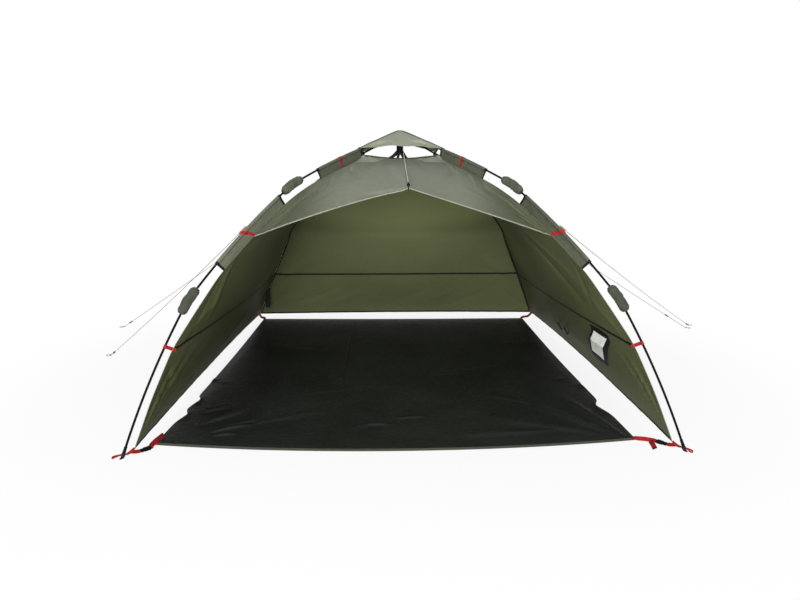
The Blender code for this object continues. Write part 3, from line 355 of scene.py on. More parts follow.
def webbing_material(name, colour, light):
    """Ribbed webbing: "flat" holds (across, along, distance to its end)."""
    n = Nodes(name)
    spot, x, y, end = n.flat()
    rib = n.wave(y, 0.0016)
    weave = n.math("SINE", x * (2 * math.pi / 0.0030) + rib * 1.3) * 0.5 + 0.5
    dirt = n.noise(spot, 90.0, 3.0, 0.6)
    base = n.mix(weave * 0.35, times(colour, 0.72), light)
    base = n.mix(n.remap(dirt, 0.45, 0.80) * 0.25, base, times(colour, 0.45))
    base = n.mix(n.row(end, 0.0055, 0.0006) * 0.8, base, times(colour, 0.30))
    looks = {"sheen_weight": 0.03, "sheen_roughness": 0.4, "specular_ior_level": 0.25}
    return n.finish(base, weave + rib * 0.35, 0.55, 0.0006, n.remap(dirt, 0.2, 0.8, 0.58, 0.80), **looks)


def cord_material(name, first, second, share_second):
    """Braided cord in two yarns: "flat" holds (turn round it, along, 0)."""
    n = Nodes(name)
    _, x, y, _ = n.flat()
    along, turn = y * (2 * math.pi / 0.0046), x * 3.0
    plait = n.math("MAXIMUM", n.math("SINE", along + turn), n.math("SINE", along - turn))
    flecks = n.math("SINE", y * (2 * math.pi / 0.0092) + x)
    base = n.mix(n.remap(flecks, share_second - 0.65, share_second - 0.35), first, second)
    # Painted shade: darker in the grooves between the plaits
    base = n.mix(n.remap(plait, 0.2, -0.3), base, times(first, 0.35))
    return n.finish(base, plait, 0.7, 0.0005, n.remap(plait, -0.5, 1.0, 0.85, 0.6), sheen_weight=0.25)


def plastic_material(name, colour, rough, grain=420.0, strength=0.18):
    """Moulded plastic: fine grain, a little lighter where it is rubbed."""
    n = Nodes(name)
    spot = n.add("TexCoord", out=3)
    wide = n.noise(spot, 46.0, 3.0, 0.55)
    base = n.mix(n.remap(wide, 0.35, 0.75), colour, times([c + 0.003 for c in colour], 1.5))
    roughness = n.remap(wide, 0.25, 0.75, rough - 0.08, rough + 0.12)
    return n.finish(base, n.noise(spot, grain, 3.0, 0.6), strength, 0.0003, roughness, specular_ior_level=0.03)


def rod_material():
    """Pultruded black rod: fine lengthwise streaks under a satin coat."""
    n = Nodes("fibreglass_rod")
    spot, x, y, _ = n.flat()
    streak = n.noise(n.add("CombineXYZ", {"X": x * 9.0, "Y": y * 3.0}), 1.0, 4.0, 0.65)
    scuff = n.noise(n.stretched(spot, (0.4, 12.0, 1.0)), 1.0, 3.0, 0.6)
    base = n.mix(n.remap(streak, 0.35, 0.75), (0.003, 0.003, 0.0033), (0.007, 0.007, 0.0075))
    base = n.mix(n.remap(scuff, 0.62, 0.82) * 0.25, base, (0.018, 0.018, 0.017))
    return n.finish(base, streak, 0.10, 0.0002, n.remap(scuff, 0.3, 0.7, 0.42, 0.56), specular_ior_level=0.02)


def steel_material():
    n = Nodes("steel_wire")
    lines = n.noise(n.stretched(n.add("TexCoord", out=3), (60.0, 60.0, 900.0)), 4.0, 3.0, 0.6)
    base = n.mix(n.remap(lines, 0.3, 0.7), (0.34, 0.34, 0.35), (0.58, 0.58, 0.59))
    return n.finish(base, lines, 0.2, 0.0003, n.remap(lines, 0.3, 0.7, 0.24, 0.40), metallic=1.0)


def film_material():
    """Creased clear window film: glossy, with folds and rubbed specks, painted pale in its upper part where daylight
    shows through, darker grey below, and given a painted glow.
    """
    n = Nodes("window_film")
    spot, _, y, _ = n.flat()
    specks = n.add("TexVoronoi", {"Vector": spot, "Scale": 120.0, "Randomness": 1.0})
    cloud = n.noise(spot, 26.0, 4.0, 0.65)
    streaks = n.noise(n.stretched(spot, (220.0, 14.0, 1.0)), 1.0, 3.0, 0.6)
    # Painted light: the upper part is pale, where daylight shows through; below it is a darker grey
    upper = n.remap(y, 0.100, 0.070)
    base = n.mix(n.remap(cloud, 0.35, 0.70), (0.84, 0.86, 0.81), (0.96, 0.97, 0.94))
    dull = n.mix(n.remap(streaks, 0.35, 0.70), (0.58, 0.61, 0.54), (0.90, 0.92, 0.87))
    base = n.mix(upper, dull, base)
    base = n.mix(n.remap(specks, 0.16, 0.06) * 0.8, base, (0.22, 0.23, 0.20))
    # Painted glow: emission that stands in for daylight coming through from outside
    glow = {"emission_color": base, "emission_strength": n.remap(upper, 0.0, 1.0, 0.16, 0.36)}
    looks = {"transmission_weight": 0.15, "coat_weight": 0.2, "coat_roughness": 0.2}
    return n.finish(base, cloud + streaks * 0.5, 0.35, 0.0012, n.remap(cloud, 0.3, 0.7, 0.22, 0.40), **glow, **looks)


def quilt_material(name, light):
    """Padded sleeve cloth: a coarser weave, with a seam along the underside and stitched end rims."""
    n = Nodes(name)
    spot, x, y, edge = n.flat()
    weave = n.weave(x, y, 0.0016)
    wide = n.noise(spot, 22.0, 4.0, 0.6)
    base = n.mix(n.remap(wide, 0.30, 0.72), times((0.034, 0.040, 0.025), light), times((0.058, 0.066, 0.044), light))
    base = n.mix(n.remap(weave, -0.4, 0.8) * 0.25, base, times((0.028, 0.033, 0.020), light))
    base = n.mix(n.dashes(x, y, 0.0042, -0.3) * n.row(edge, 0.0050, 0.0007), base, (0.030, 0.034, 0.022))
    base = n.mix(n.remap(edge, 0.0026, 0.0012), base, (0.020, 0.022, 0.015))
    height = weave * 0.25 + wide * 1.2 - n.remap(edge, 0.0065, 0.0045) * 0.9
    looks = {"sheen_weight": 0.05, "sheen_roughness": 0.5, "specular_ior_level": 0.3}
    return n.finish(base, height, 0.5, 0.0012, n.remap(wide, 0.25, 0.75, 0.62, 0.82), **looks)


def sheet_material():
    """Coated black groundsheet, satin, with fine crinkles that catch the light."""
    n = Nodes("groundsheet_cloth")
    spot, x, y, edge = n.flat()
    cells = {"Vector": n.stretched(spot, (9.0, 22.0, 0.0)), "Scale": 1.0, "Randomness": 1.0}
    crinkle = n.remap(n.add("TexVoronoi", cells, feature="DISTANCE_TO_EDGE"), 0.0, 0.16)
    fine = n.noise(spot, 75.0, 4.0, 0.62)
    wide = n.noise(spot, 2.6, 3.0, 0.55)
    base = n.mix(n.remap(wide, 0.30, 0.72), (0.0135, 0.0148, 0.0128), (0.0200, 0.0218, 0.0190))
    base = n.mix(n.remap(fine, 0.55, 0.80) * 0.5, base, (0.032, 0.035, 0.030))
    base = n.mix(n.dashes(x, y, 0.0046) * n.row(edge, 0.0120, 0.0006), base, (0.090, 0.095, 0.080))
    height = crinkle + fine * 0.9 + n.weave(x, y, 0.0014) * 0.08
    return n.finish(base, height, 0.35, 0.0016, n.remap(fine, 0.30, 0.72, 0.40, 0.56), specular_ior_level=0.10)


GREY, GREY_WORN, GREY_THREAD = (0.140, 0.153, 0.113), (0.25, 0.27, 0.21), (0.060, 0.066, 0.045)
INSIDE = ((0.112, 0.124, 0.056), (0.15, 0.16, 0.085), (0.030, 0.034, 0.018), 0.0)
# Name, colour, worn colour, stitches, sheen
CLOTHS = {
    "outer": (("canopy_outside", GREY, GREY_WORN, GREY_THREAD, 0.06, (0.44, 0.60)), {}),
    "awning": (
        ("awning_outside", times(GREY, 1.11), GREY_WORN, GREY_THREAD, 0.03),
        # corner_shade: painted shade towards the awning's two lower corners
        {"level": 0.16, "corner_shade": (0.24, 0.54, 0.12, 0.30, 0.80)},
    ),
    # Painted light: the cap's cloth is the outside grey made lighter, for the light from above; the awning's curled
    # rim and hem edge use it as painted highlight
    "cap": (("cap_outside", times(GREY, 1.66), (0.36, 0.38, 0.31), (0.080, 0.088, 0.062), 0.06, (0.44, 0.60)), {}),
    # The three inside cloths differ only in their painted light and shade
    "inner": (("canopy_inside", *INSIDE), {"level": 0.12, "thin": (0.60, 0.84, 1.45, 0)}),
    "inner_left": (("canopy_inside_left", *INSIDE), {"level": 0.12, "thin": (0.95, 1.30, 1.62, -1)}),
    "inner_right": (("canopy_inside_right", *INSIDE), {"level": 0.12, "thin": (0.85, 1.20, 1.62, 1)}),
    "tape": (("seam_tape", (0.007, 0.008, 0.006), (0.030, 0.032, 0.024), (0.004, 0.004, 0.003), 0.0), {"level": 0.1}),
    "binding": (("edge_binding", (0.044, 0.050, 0.030), (0.10, 0.11, 0.075), (0.010, 0.011, 0.008)), {}),
    "channel": (
        ("channel_cloth", (0.092, 0.103, 0.069), (0.16, 0.17, 0.12), (0.030, 0.034, 0.022)),
        {"blotch": 0.22},
    ),
    # Painted shade: the channel cloth made darker for the two right legs
    "channel_right_shaded": (
        ("channel_cloth_right", (0.052, 0.060, 0.036), (0.10, 0.11, 0.07), (0.020, 0.023, 0.014), 0.03),
        {"blotch": 0.26},
    ),
    "top_channel": (
        ("top_channel_cloth", (0.066, 0.075, 0.048), (0.12, 0.13, 0.09), (0.020, 0.023, 0.014)),
        {"blotch": 0.28},
    ),
    "black_cloth": (
        ("black_trim", (0.010, 0.011, 0.010), (0.040, 0.042, 0.038), (0.050, 0.052, 0.046), 0.0),
        {"level": 0.15},
    ),
    "edging": (("front_edging", (0.130, 0.140, 0.092), (0.20, 0.21, 0.16), (0.050, 0.055, 0.036)), {}),
    "hem": (("sheet_hem", (0.085, 0.092, 0.066), (0.14, 0.15, 0.115), (0.040, 0.044, 0.030)), {}),
}
MATERIALS = {key: cloth_material(*plain, **more) for key, (plain, more) in CLOTHS.items()}
MATERIALS |= {
    # Painted light and shade: one padded cloth, lighter on the upper sleeves and darker on the lower ones
    "pad": quilt_material("pad_cloth_lit", 1.18),
    "low_pad": quilt_material("lower_pad_cloth_shaded", 0.74),
    "sheet": sheet_material(),
    "red": webbing_material("red_webbing_weave", (0.330, 0.006, 0.008), (0.430, 0.016, 0.016)),
    "black": webbing_material("black_webbing_weave", (0.006, 0.006, 0.0055), (0.014, 0.014, 0.0135)),
    "pale_cord": cord_material("awning_cord_braid", (0.74, 0.71, 0.58), (0.60, 0.56, 0.44), 0.35),
    "guy_cord": cord_material("guy_cord_braid", (0.36, 0.25, 0.24), (0.30, 0.075, 0.075), 0.42),
    "red_cord": cord_material("red_cord_braid", (0.48, 0.020, 0.022), (0.52, 0.34, 0.32), 0.42),
    "plastic": plastic_material("moulded_plastic", (0.0045, 0.0045, 0.005), 0.42),
    "rubber": plastic_material("foot_plastic", (0.004, 0.004, 0.004), 0.55, 260.0, 0.3),
    "rod": rod_material(),
    "steel": steel_material(),
    "film": film_material(),
}


# Mesh helpers


def build(name, points, faces, materials, slots=None, flat_at=None, normals=None, smooth=True):
    """One mesh piece. flat_at holds each point's place on the flat cloth, and normals one vector a face corner."""
    mesh = bpy.data.meshes.new(name)
    mesh.from_pydata([tuple(p) for p in points], [], [tuple(f) for f in faces])
    for key in materials:
        mesh.materials.append(MATERIALS[key])
    if slots is not None:
        mesh.polygons.foreach_set("material_index", slots)
    if flat_at is not None:
        attribute = mesh.attributes.new("flat", "FLOAT_VECTOR", "POINT")
        attribute.data.foreach_set("vector", np.asarray(flat_at, dtype=np.float32).ravel())
    mesh.polygons.foreach_set("use_smooth", [smooth] * len(mesh.polygons))
    if normals is not None:
        mesh.normals_split_custom_set(normals)
    mesh.update()
    made = bpy.data.objects.new(name, mesh)
    bpy.context.scene.collection.objects.link(made)
    return made


def sharpen(made, degrees):
    made.data.set_sharp_from_angle(angle=math.radians(degrees))
    return made


def outward(made):
    """Turn the faces of a closed piece so that they point out."""
    bm = bmesh.new()
    bm.from_mesh(made.data)
    bmesh.ops.recalc_face_normals(bm, faces=bm.faces)
    bm.to_mesh(made.data)
    bm.free()
    return made


def on_circle(centre, one, two, radius, turns):
    return [centre + (one * math.cos(a) + two * math.sin(a)) * radius for a in turns]


def lengths_along(points):
    lengths = [0.0]
    for a, b in zip(points, points[1:]):
        lengths.append(lengths[-1] + (b - a).length)
    return lengths


def directions(points):
    last = len(points) - 1
    return [(points[min(k + 1, last)] - points[max(k - 1, 0)]).normalized() for k in range(last + 1)]


def skin(rings, closed=False):
    """Points and faces of rings joined in order. A ring of one point closes an end."""
    points, index, faces = [], [], []
    for ring in rings:
        index.append(list(range(len(points), len(points) + len(ring))))
        points += ring
    pairs = list(zip(index, index[1:]))
    if closed:
        pairs.append((index[-1], index[0]))
    for one, two in pairs:
        count = max(len(one), len(two))
        for k in range(count):
            n = (k + 1) % count
            corners = [one[k % len(one)], one[n % len(one)], two[n % len(two)], two[k % len(two)]]
            faces.append(tuple(dict.fromkeys(corners)))
    if not closed:
        if len(rings[0]) > 2:
            faces.append(tuple(index[0])[::-1])
        if len(rings[-1]) > 2:
            faces.append(tuple(index[-1]))
    return points, faces


def tube(name, points, radius, material, sides=10, side=None):
    """A closed round tube along points, which doesn't twist."""
    ahead = directions(points)
    side = side or ahead[0].orthogonal().normalized()
    rings, where = [], []
    for point, along, direction in zip(points, lengths_along(points), ahead):
        side = (side - direction * side.dot(direction)).normalized()
        rings.append(on_circle(point, side, direction.cross(side), radius, circle(sides)))
        where += [(a, along, 0.0) for a in circle(sides)]
    return sharpen(build(name, *skin(rings), [material], flat_at=where), 60)


def lathe(origin, axis, profile, sides, side=None, closed=False):
    """A turned shape, as (points, faces). The profile holds (radius, distance along the axis)."""
    axis = axis.normalized()
    across = (side or axis.orthogonal()).normalized()
    rings = []
    for radius, along in profile:
        centre = origin + axis * along
        rings.append(on_circle(centre, across, axis.cross(across), radius, circle(sides)) if radius else [centre])
    return skin(rings, closed)


def hard(name, parts, material, degrees=40):
    """A hard piece from (points, faces) parts, with its faces pointing out."""
    points, faces = [], []
    for more, shapes in parts:
        start = len(points)
        points += more
        faces += [tuple(v + start for v in f) for f in shapes]
    return sharpen(outward(build(name, points, faces, [material], flat_at=[tuple(p) for p in points])), degrees)


def smooth_line(points, count):
    """A Catmull-Rom curve through points, at even steps of its parameter."""
    line = []
    last = len(points) - 1
    for step in steps(count):
        i = min(int(step * last), last - 1)
        t = step * last - i
        p0, p1, p2, p3 = (points[max(0, min(last, i + d))] for d in (-1, 0, 1, 2))
        curve = (2 * p0 - 5 * p1 + 4 * p2 - p3) * t**2 + (3 * p1 - p0 - 3 * p2 + p3) * t**3
        line.append(0.5 * (2 * p1 + (p2 - p0) * t + curve))
    return line


def ribbon(name, path, across, width, material, thickness=WEBBING, crown=0.0):
    """Flat webbing along path with softened edges. across is its width's direction, one or one a point."""
    section = [(-1.0, -0.25), (-0.94, -0.5), (0.94, -0.5), (1.0, -0.25), (1.0, 0.25), (0.94, 0.5)]
    section += [(0.94 - 0.47 * k, 0.5 + crown * math.sin(math.pi * k / 4)) for k in (1, 2, 3)]
    section += [(-0.94, 0.5), (-1.0, 0.25)]
    lengths = lengths_along(path)
    rings, where = [], []
    for k, (point, ahead) in enumerate(zip(path, directions(path))):
        side = across[k] if isinstance(across, list) else across
        side = (side - ahead * side.dot(ahead)).normalized()
        up = ahead.cross(side)
        rings.append([point + side * (a * width / 2) + up * (b * thickness) for a, b in section])
        end = min(lengths[k], lengths[-1] - lengths[k])
        where += [(a * width / 2, lengths[k], end) for a, b in section]
    return sharpen(outward(build(name, *skin(rings), [material], flat_at=where)), 50)


def stand(made, body, slot, *nodes):
    """What a piece rides on, and the CAD nodes that it stands for. slot, its finish, is not used."""
    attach(made, body)
    if nodes:
        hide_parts(*nodes)


def moved(made, leg):
    """Turn a piece that was drawn in the leg's frame to its leg."""
    made.data.transform(Matrix.Rotation(math.radians(LEGS[leg]), 4, "Z"))


def gather(made):
    """Give a piece its own copy of its mesh."""
    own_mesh(made)


# Camera and cords


def camera():
    data = bpy.data.cameras.new("camera")
    data.lens = 24.12
    data.sensor_width = 36.0
    data.clip_start = 0.05
    made = bpy.data.objects.new("camera", data)
    made.location = (-0.083, -3.145, 1.100)
    made.rotation_euler = (math.radians(90 - 12.76), 0.0, math.radians(-1.52))
    bpy.context.scene.collection.objects.link(made)
    bpy.context.scene.camera = made


camera()


def hanging(start, end, sag, count):
    return [start.lerp(end, t) - RISE * (sag * hump(t)) for t in steps(count)]


def wound(place, ahead, start, length, count, spread, phase=0.0):
    """A strand round a line, a twelfth of a turn a step. spread gives its distance from the line."""
    across = ahead.orthogonal().normalized()
    strand = []
    for k, t in enumerate(steps(count)):
        centre = place + ahead * (start + length * t)
        strand += on_circle(centre, across, ahead.cross(across), spread(k), [math.pi * k / 6 + phase])
    return strand


def guy_points(leg):
    """The cord's points, from the tab on the mid channel to its loop on the ground."""
    centre, _, out = on_pole("mid", t_at_reach("mid", TAB_AT[leg]))
    start = turned(leg, centre + out * (CHANNEL_RADIUS + WEBBING + GAP + GUY_RADIUS))
    end = Vector((*GUY_GROUND[leg], GUY_RADIUS + GAP))
    run = Vector((end.x - start.x, end.y - start.y, 0)).normalized()
    side = Vector((-run.y, run.x, 0))
    touch = end - run * GUY_LOOP_RADIUS * 2
    points = hanging(start, touch, GUY_SAG, GUY_POINTS)
    points[-1].z = end.z
    turns = angles(180, -310, GUY_LOOP_POINTS - 1)[1:]
    return points + on_circle(touch + run * GUY_LOOP_RADIUS, run, side, GUY_LOOP_RADIUS, turns)


def guy_line(leg):
    """One guy line with its knot at the tab, its slider and the knot that closes its loop."""
    route = guy_points(leg)
    straight, loop = route[:GUY_POINTS], route[GUY_POINTS - 1 :]
    line = smooth_line(straight, 26)[:-1] + smooth_line(loop, 25)
    cord = tube(f"guy_line_{leg}.cord", line, GUY_RADIUS, "guy_cord", sides=8)
    stand(cord, f"mid_{leg}", "guy_cord", f"guy_line_{leg}")
    last = (straight[-1] - straight[-2]).normalized()
    start = straight[-1] - last * (SLIDER_FROM_END[leg] + SLIDER_LENGTH)
    r, e = SLIDER_RADIUS, SLIDER_LENGTH
    profile = [(0.0017, 0.0008), (0.0022, 0.0), (0.0040, 0.0), (r, 0.0012), (r, 0.0062), (0.0036, 0.0088)]
    profile += [(0.0036, 0.0172), (r, 0.0198), (r, 0.0248), (0.0040, e), (0.0022, e), (0.0017, 0.0252)]
    slider = hard(f"guy_slider_{leg}.body", [lathe(start, last, profile, 20, closed=True)], "plastic")
    stand(slider, f"mid_{leg}", "black_plastic", f"guy_slider_{leg}")
    # Two strands twisted round the cord just outside the tab, and a small knot where the loop closes
    first = (line[1] - line[0]).normalized()
    knots = []

    def spread(k):
        return GUY_RADIUS * 1.5 * min(1.0, 0.4 + k / 14, 0.35 + (84 - k) / 14)

    for number, yarn in enumerate(("guy_cord", "red_cord")):
        strand = wound(line[0], first, 0.0030, TWIST_LENGTH, 85, spread, math.pi * number)
        knots.append(tube(f"guy_twist_{leg}_{number}", strand, GUY_RADIUS * 1.7, yarn, sides=8))
    reach = GUY_RADIUS * 1.9 * 3
    turns = wound(straight[-1], last, -reach / 2, reach, 37, lambda k: GUY_RADIUS * 1.75)
    lift = max(0.0, GUY_RADIUS * 0.9 + 0.0003 - min(p.z for p in turns))
    turns = [p + RISE * lift for p in turns]
    knots.append(tube(f"guy_knot_{leg}_1", turns, GUY_RADIUS * 0.9, "guy_cord", sides=8))
    for knot in knots:
        stand(knot, f"mid_{leg}", "guy_cord")
    axis = (straight[-1] - straight[0]).normalized()
    for piece in (cord, slider, *knots):
        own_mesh(piece)
    round(lengths_along(line)[-1], 3)


for leg_name in LEGS:
    guy_line(leg_name)


def awning_cord():
    """The cord that draws up the awning's tip, with its hook."""
    shape = [AWNING_TIP + Vector((0, y, z)) for y, z in HOOK_SHAPE]
    hook = tube("awning_hook", smooth_line(shape, 26), HOOK_RADIUS, "plastic", sides=12)
    top, down = AWNING_TIP + Vector((0, -0.0056, 0.020)), Vector((0, -0.05, -1))
    profile = [(0, 0), (0.0042, 0), (0.0064, 0.0020), (0.0072, 0.0052), (0.0066, 0.0090), (0.0040, 0.0116)]
    profile.append((0, 0.0116))
    knob = hard("awning_hook_collar", [lathe(top, down, profile, 20)], "plastic")
    turn = math.radians(AWNING_CORD_TURN)
    side = Vector((math.cos(turn), math.sin(turn), 0))
    start = side * (HUB_CORE_RADIUS + AWNING_CORD_RADIUS) + RISE * (HUB_BOTTOM + AWNING_CORD_LIFT)
    end = AWNING_TIP + Vector((0, HOOK_SHAPE[0][0] + HOOK_RADIUS + 2 * GAP, HOOK_SHAPE[0][1] - HOOK_RADIUS))
    line = hanging(start, end, AWNING_CORD_SAG, 28)
    cord = tube("awning_cord.cord", line, AWNING_CORD_RADIUS, "pale_cord")
    stand(cord, "root", "pale_cord", "awning_cord")
    stand(hook, "root", "black_plastic", "cord_hook")
    stand(knob, "root", "black_plastic")
    for piece in (cord, hook, knob):
        gather(piece)
    round(lengths_along(line)[-1], 3)


awning_cord()


# Canopy


def ridge(edge):
    """The line where the canopy hangs from one leg, rim first, as evenly spaced (r, z)."""
    raw = []
    spans = {"top": (t_at_reach("top", VENT_REACH), 0.90), "mid": (0.09, t_at_reach("mid", CHANNEL_SPAN["mid"][1]))}
    for member, (start, end) in spans.items():
        for t in steps(9):
            centre, _, out = on_pole(member, start + (end - start) * t)
            raw.append(centre - out * RIDGE_DROP)
    for z, inset in edge:
        member = "mid" if z > KNUCKLE_2.y else "low"
        if z < raw[-1].y:
            raw.append(Vector((on_pole(member, t_at_height(member, z))[0].x - inset, z)))
    places = lengths_along(raw)
    even = np.linspace(0, places[-1], 97)
    line = np.stack([np.interp(even, places, [p[k] for p in raw]) for k in (0, 1)], axis=1)
    for _ in range(8):
        line[1:-1] = line[:-2] / 4 + line[1:-1] / 2 + line[2:] / 4
    return line


RIDGES = {"f": ridge(FRONT_INSET), "r": ridge(REAR_INSET)}


def on_ridge(leg, v):
    """Ridge points at v, from 0 at the vent rim to 1 at the ground, as an array of (r, z)."""
    line = RIDGES[leg[0]]
    places = np.arange(len(line))
    return np.stack([np.interp(np.asarray(v) * places[-1], places, line[:, k]) for k in (0, 1)], axis=-1)


def v_at_height(leg, z):
    return bisect(lambda v: on_ridge(leg, v)[1] > z)


def ridge_place(leg, v, side):
    point = on_ridge(leg, v)
    a = math.radians(LEGS[leg])
    r, lateral = point[..., 0], side * RIDGE_GAP
    x, y = r * math.cos(a) - lateral * math.sin(a), r * math.sin(a) + lateral * math.cos(a)
    return np.stack([x, y, point[..., 1]], axis=-1)


def wall_surface(one, two, sag, lift):
    def surface(u, v):
        a, b = ridge_place(one, v, 1), ridge_place(two, v, -1)
        middle = a + b
        middle[..., 2] = 0
        inward = -middle / np.linalg.norm(middle, axis=-1, keepdims=True)
        across = hump(u)
        pull = sag * across * np.sin(math.pi * np.minimum(v * 1.05, 1)).clip(0) ** 0.8
        pull = pull + 0.6 * sag * across * v * v
        place = a + (b - a) * u[..., None] + inward * pull[..., None]
        place[..., 2] += lift * across * np.maximum(0.0, v - 0.7) / 0.3
        return place

    return surface


AWNING_REACH = v_at_height("fl", AWNING_TAB_Z)


def awning_surface(u, v):
    a, b = ridge_place("fl", AWNING_REACH * v, 1), ridge_place("fr", AWNING_REACH * v, -1)
    lower = (ridge_place("fl", AWNING_REACH, 1) + ridge_place("fr", AWNING_REACH, -1)) / 2
    peak = 1 - np.abs(2 * u - 1)
    arch = np.where(u < 0.5, 0.055, 0.012) * np.sin(math.pi * peak)
    blend = (peak + arch * v) * v + hump(u) * (1 - v)
    return a + (b - a) * u[..., None] + (np.array(AWNING_TIP) - lower) * (blend * v**1.4)[..., None]


def cap_surface(u, v):
    u, v = np.asarray(u, float), np.asarray(v, float)
    side = np.minimum((u * 4).astype(int), 3)
    part = u * 4 - side
    pole, _, out = on_pole("top", t_at_reach("top", CAP_CORNER_REACH))
    high = pole.y + (CHANNEL_RADIUS + 0.0006) / out.y + 0.0012
    ends = []
    for k in (0, 1):
        a = np.radians(45 + 90 * (side + k))
        corner = [CAP_CORNER_REACH * np.cos(a), CAP_CORNER_REACH * np.sin(a), np.full_like(a, high)]
        ends.append(np.stack(corner, axis=-1))
    hem = ends[0] + (ends[1] - ends[0]) * part[..., None]
    apex = np.array((0, 0, CAP_APEX))
    place = apex + (hem - apex) * v[..., None]
    # A softly rounded tip
    place[..., 2] = CAP_APEX - (CAP_APEX - high) * (np.sqrt(v * v + 0.0064) - 0.08) / (math.sqrt(1.0064) - 0.08)
    lift = np.where(side == 0, CAP_REAR_HEM_LIFT, CAP_HEM_LIFT)
    place[..., 2] += (lift * v * v - CAP_SAG * hump(v)) * hump(part)
    return place


def swell(x, y, seed, size, count=7):
    """Soft, seeded waves over a cloth, about size metres long, from -1 to 1."""
    rng = np.random.default_rng(seed)
    total = np.zeros_like(x)
    for _ in range(count):
        a, phase, k = rng.uniform(0, math.pi), rng.uniform(0, 2 * math.pi), rng.uniform(0.6, 1.7)
        total += np.sin((x * math.cos(a) + y * math.sin(a)) * 2 * math.pi * k / size + phase)
    return total / count


def crease(x, y, start, end, width, height, steep=1.0):
    """A fold in the cloth from start to end, which dies away at both ends. A steep one is narrower on one side."""
    run = np.array(end) - np.array(start)
    long = np.hypot(*run)
    ahead = run / long
    along = (((x - start[0]) * ahead[0] + (y - start[1]) * ahead[1]) / long).clip(0, 1)
    off = -(x - start[0]) * ahead[1] + (y - start[1]) * ahead[0]
    off = np.abs(off) * np.where(off > 0, steep, 1 / steep)
    grown = width * (0.45 + 0.9 * along)
    return height * np.sin(math.pi * along) ** 0.7 * np.exp(-((off / grown) ** 2))


def bell(distance, size):
    return np.exp(-((distance / size) ** 2))


def smoothed_normals(points):
    normal = np.cross(np.gradient(points, axis=1), np.gradient(points, axis=0))
    return normal / np.maximum(np.linalg.norm(normal, axis=-1, keepdims=True), 1e-12)


def columns_between(cuts, step, finer):
    """Grid values through every cut, about step apart."""
    values = [cuts[0]]
    for a, b in zip(cuts, cuts[1:]):
        at_end = finer and (a == cuts[0] or b == cuts[-1])
        count = max(2, round((b - a) / step * (1.9 if at_end else 1)))
        values += [a + (b - a) * k / count for k in range(1, count + 1)]
    return np.array(values)


def with_values(values, extra, near):
    """Grid values with extra ones put in, and those nearer than near to them left out."""
    kept = [x for x in values if all(abs(x - e) > near for e in extra) or x in (values[0], values[-1])]
    return np.array(sorted(set(kept) | set(extra)))


def shares(us, vs, u, v):
    """The four grid points round a place, each with its share of it."""
    i, j = (np.interp(at, values, np.arange(len(values))) for at, values in ((u, us), (v, vs)))
    i0, j0 = min(int(i), len(us) - 2), min(int(j), len(vs) - 2)
    a, b = i - i0, j - j0
    near = ((0, 0, (1 - a) * (1 - b)), (1, 0, a * (1 - b)), (0, 1, (1 - a) * b), (1, 1, a * b))
    return [(i0 + di, j0 + dj, w) for di, dj, w in near]


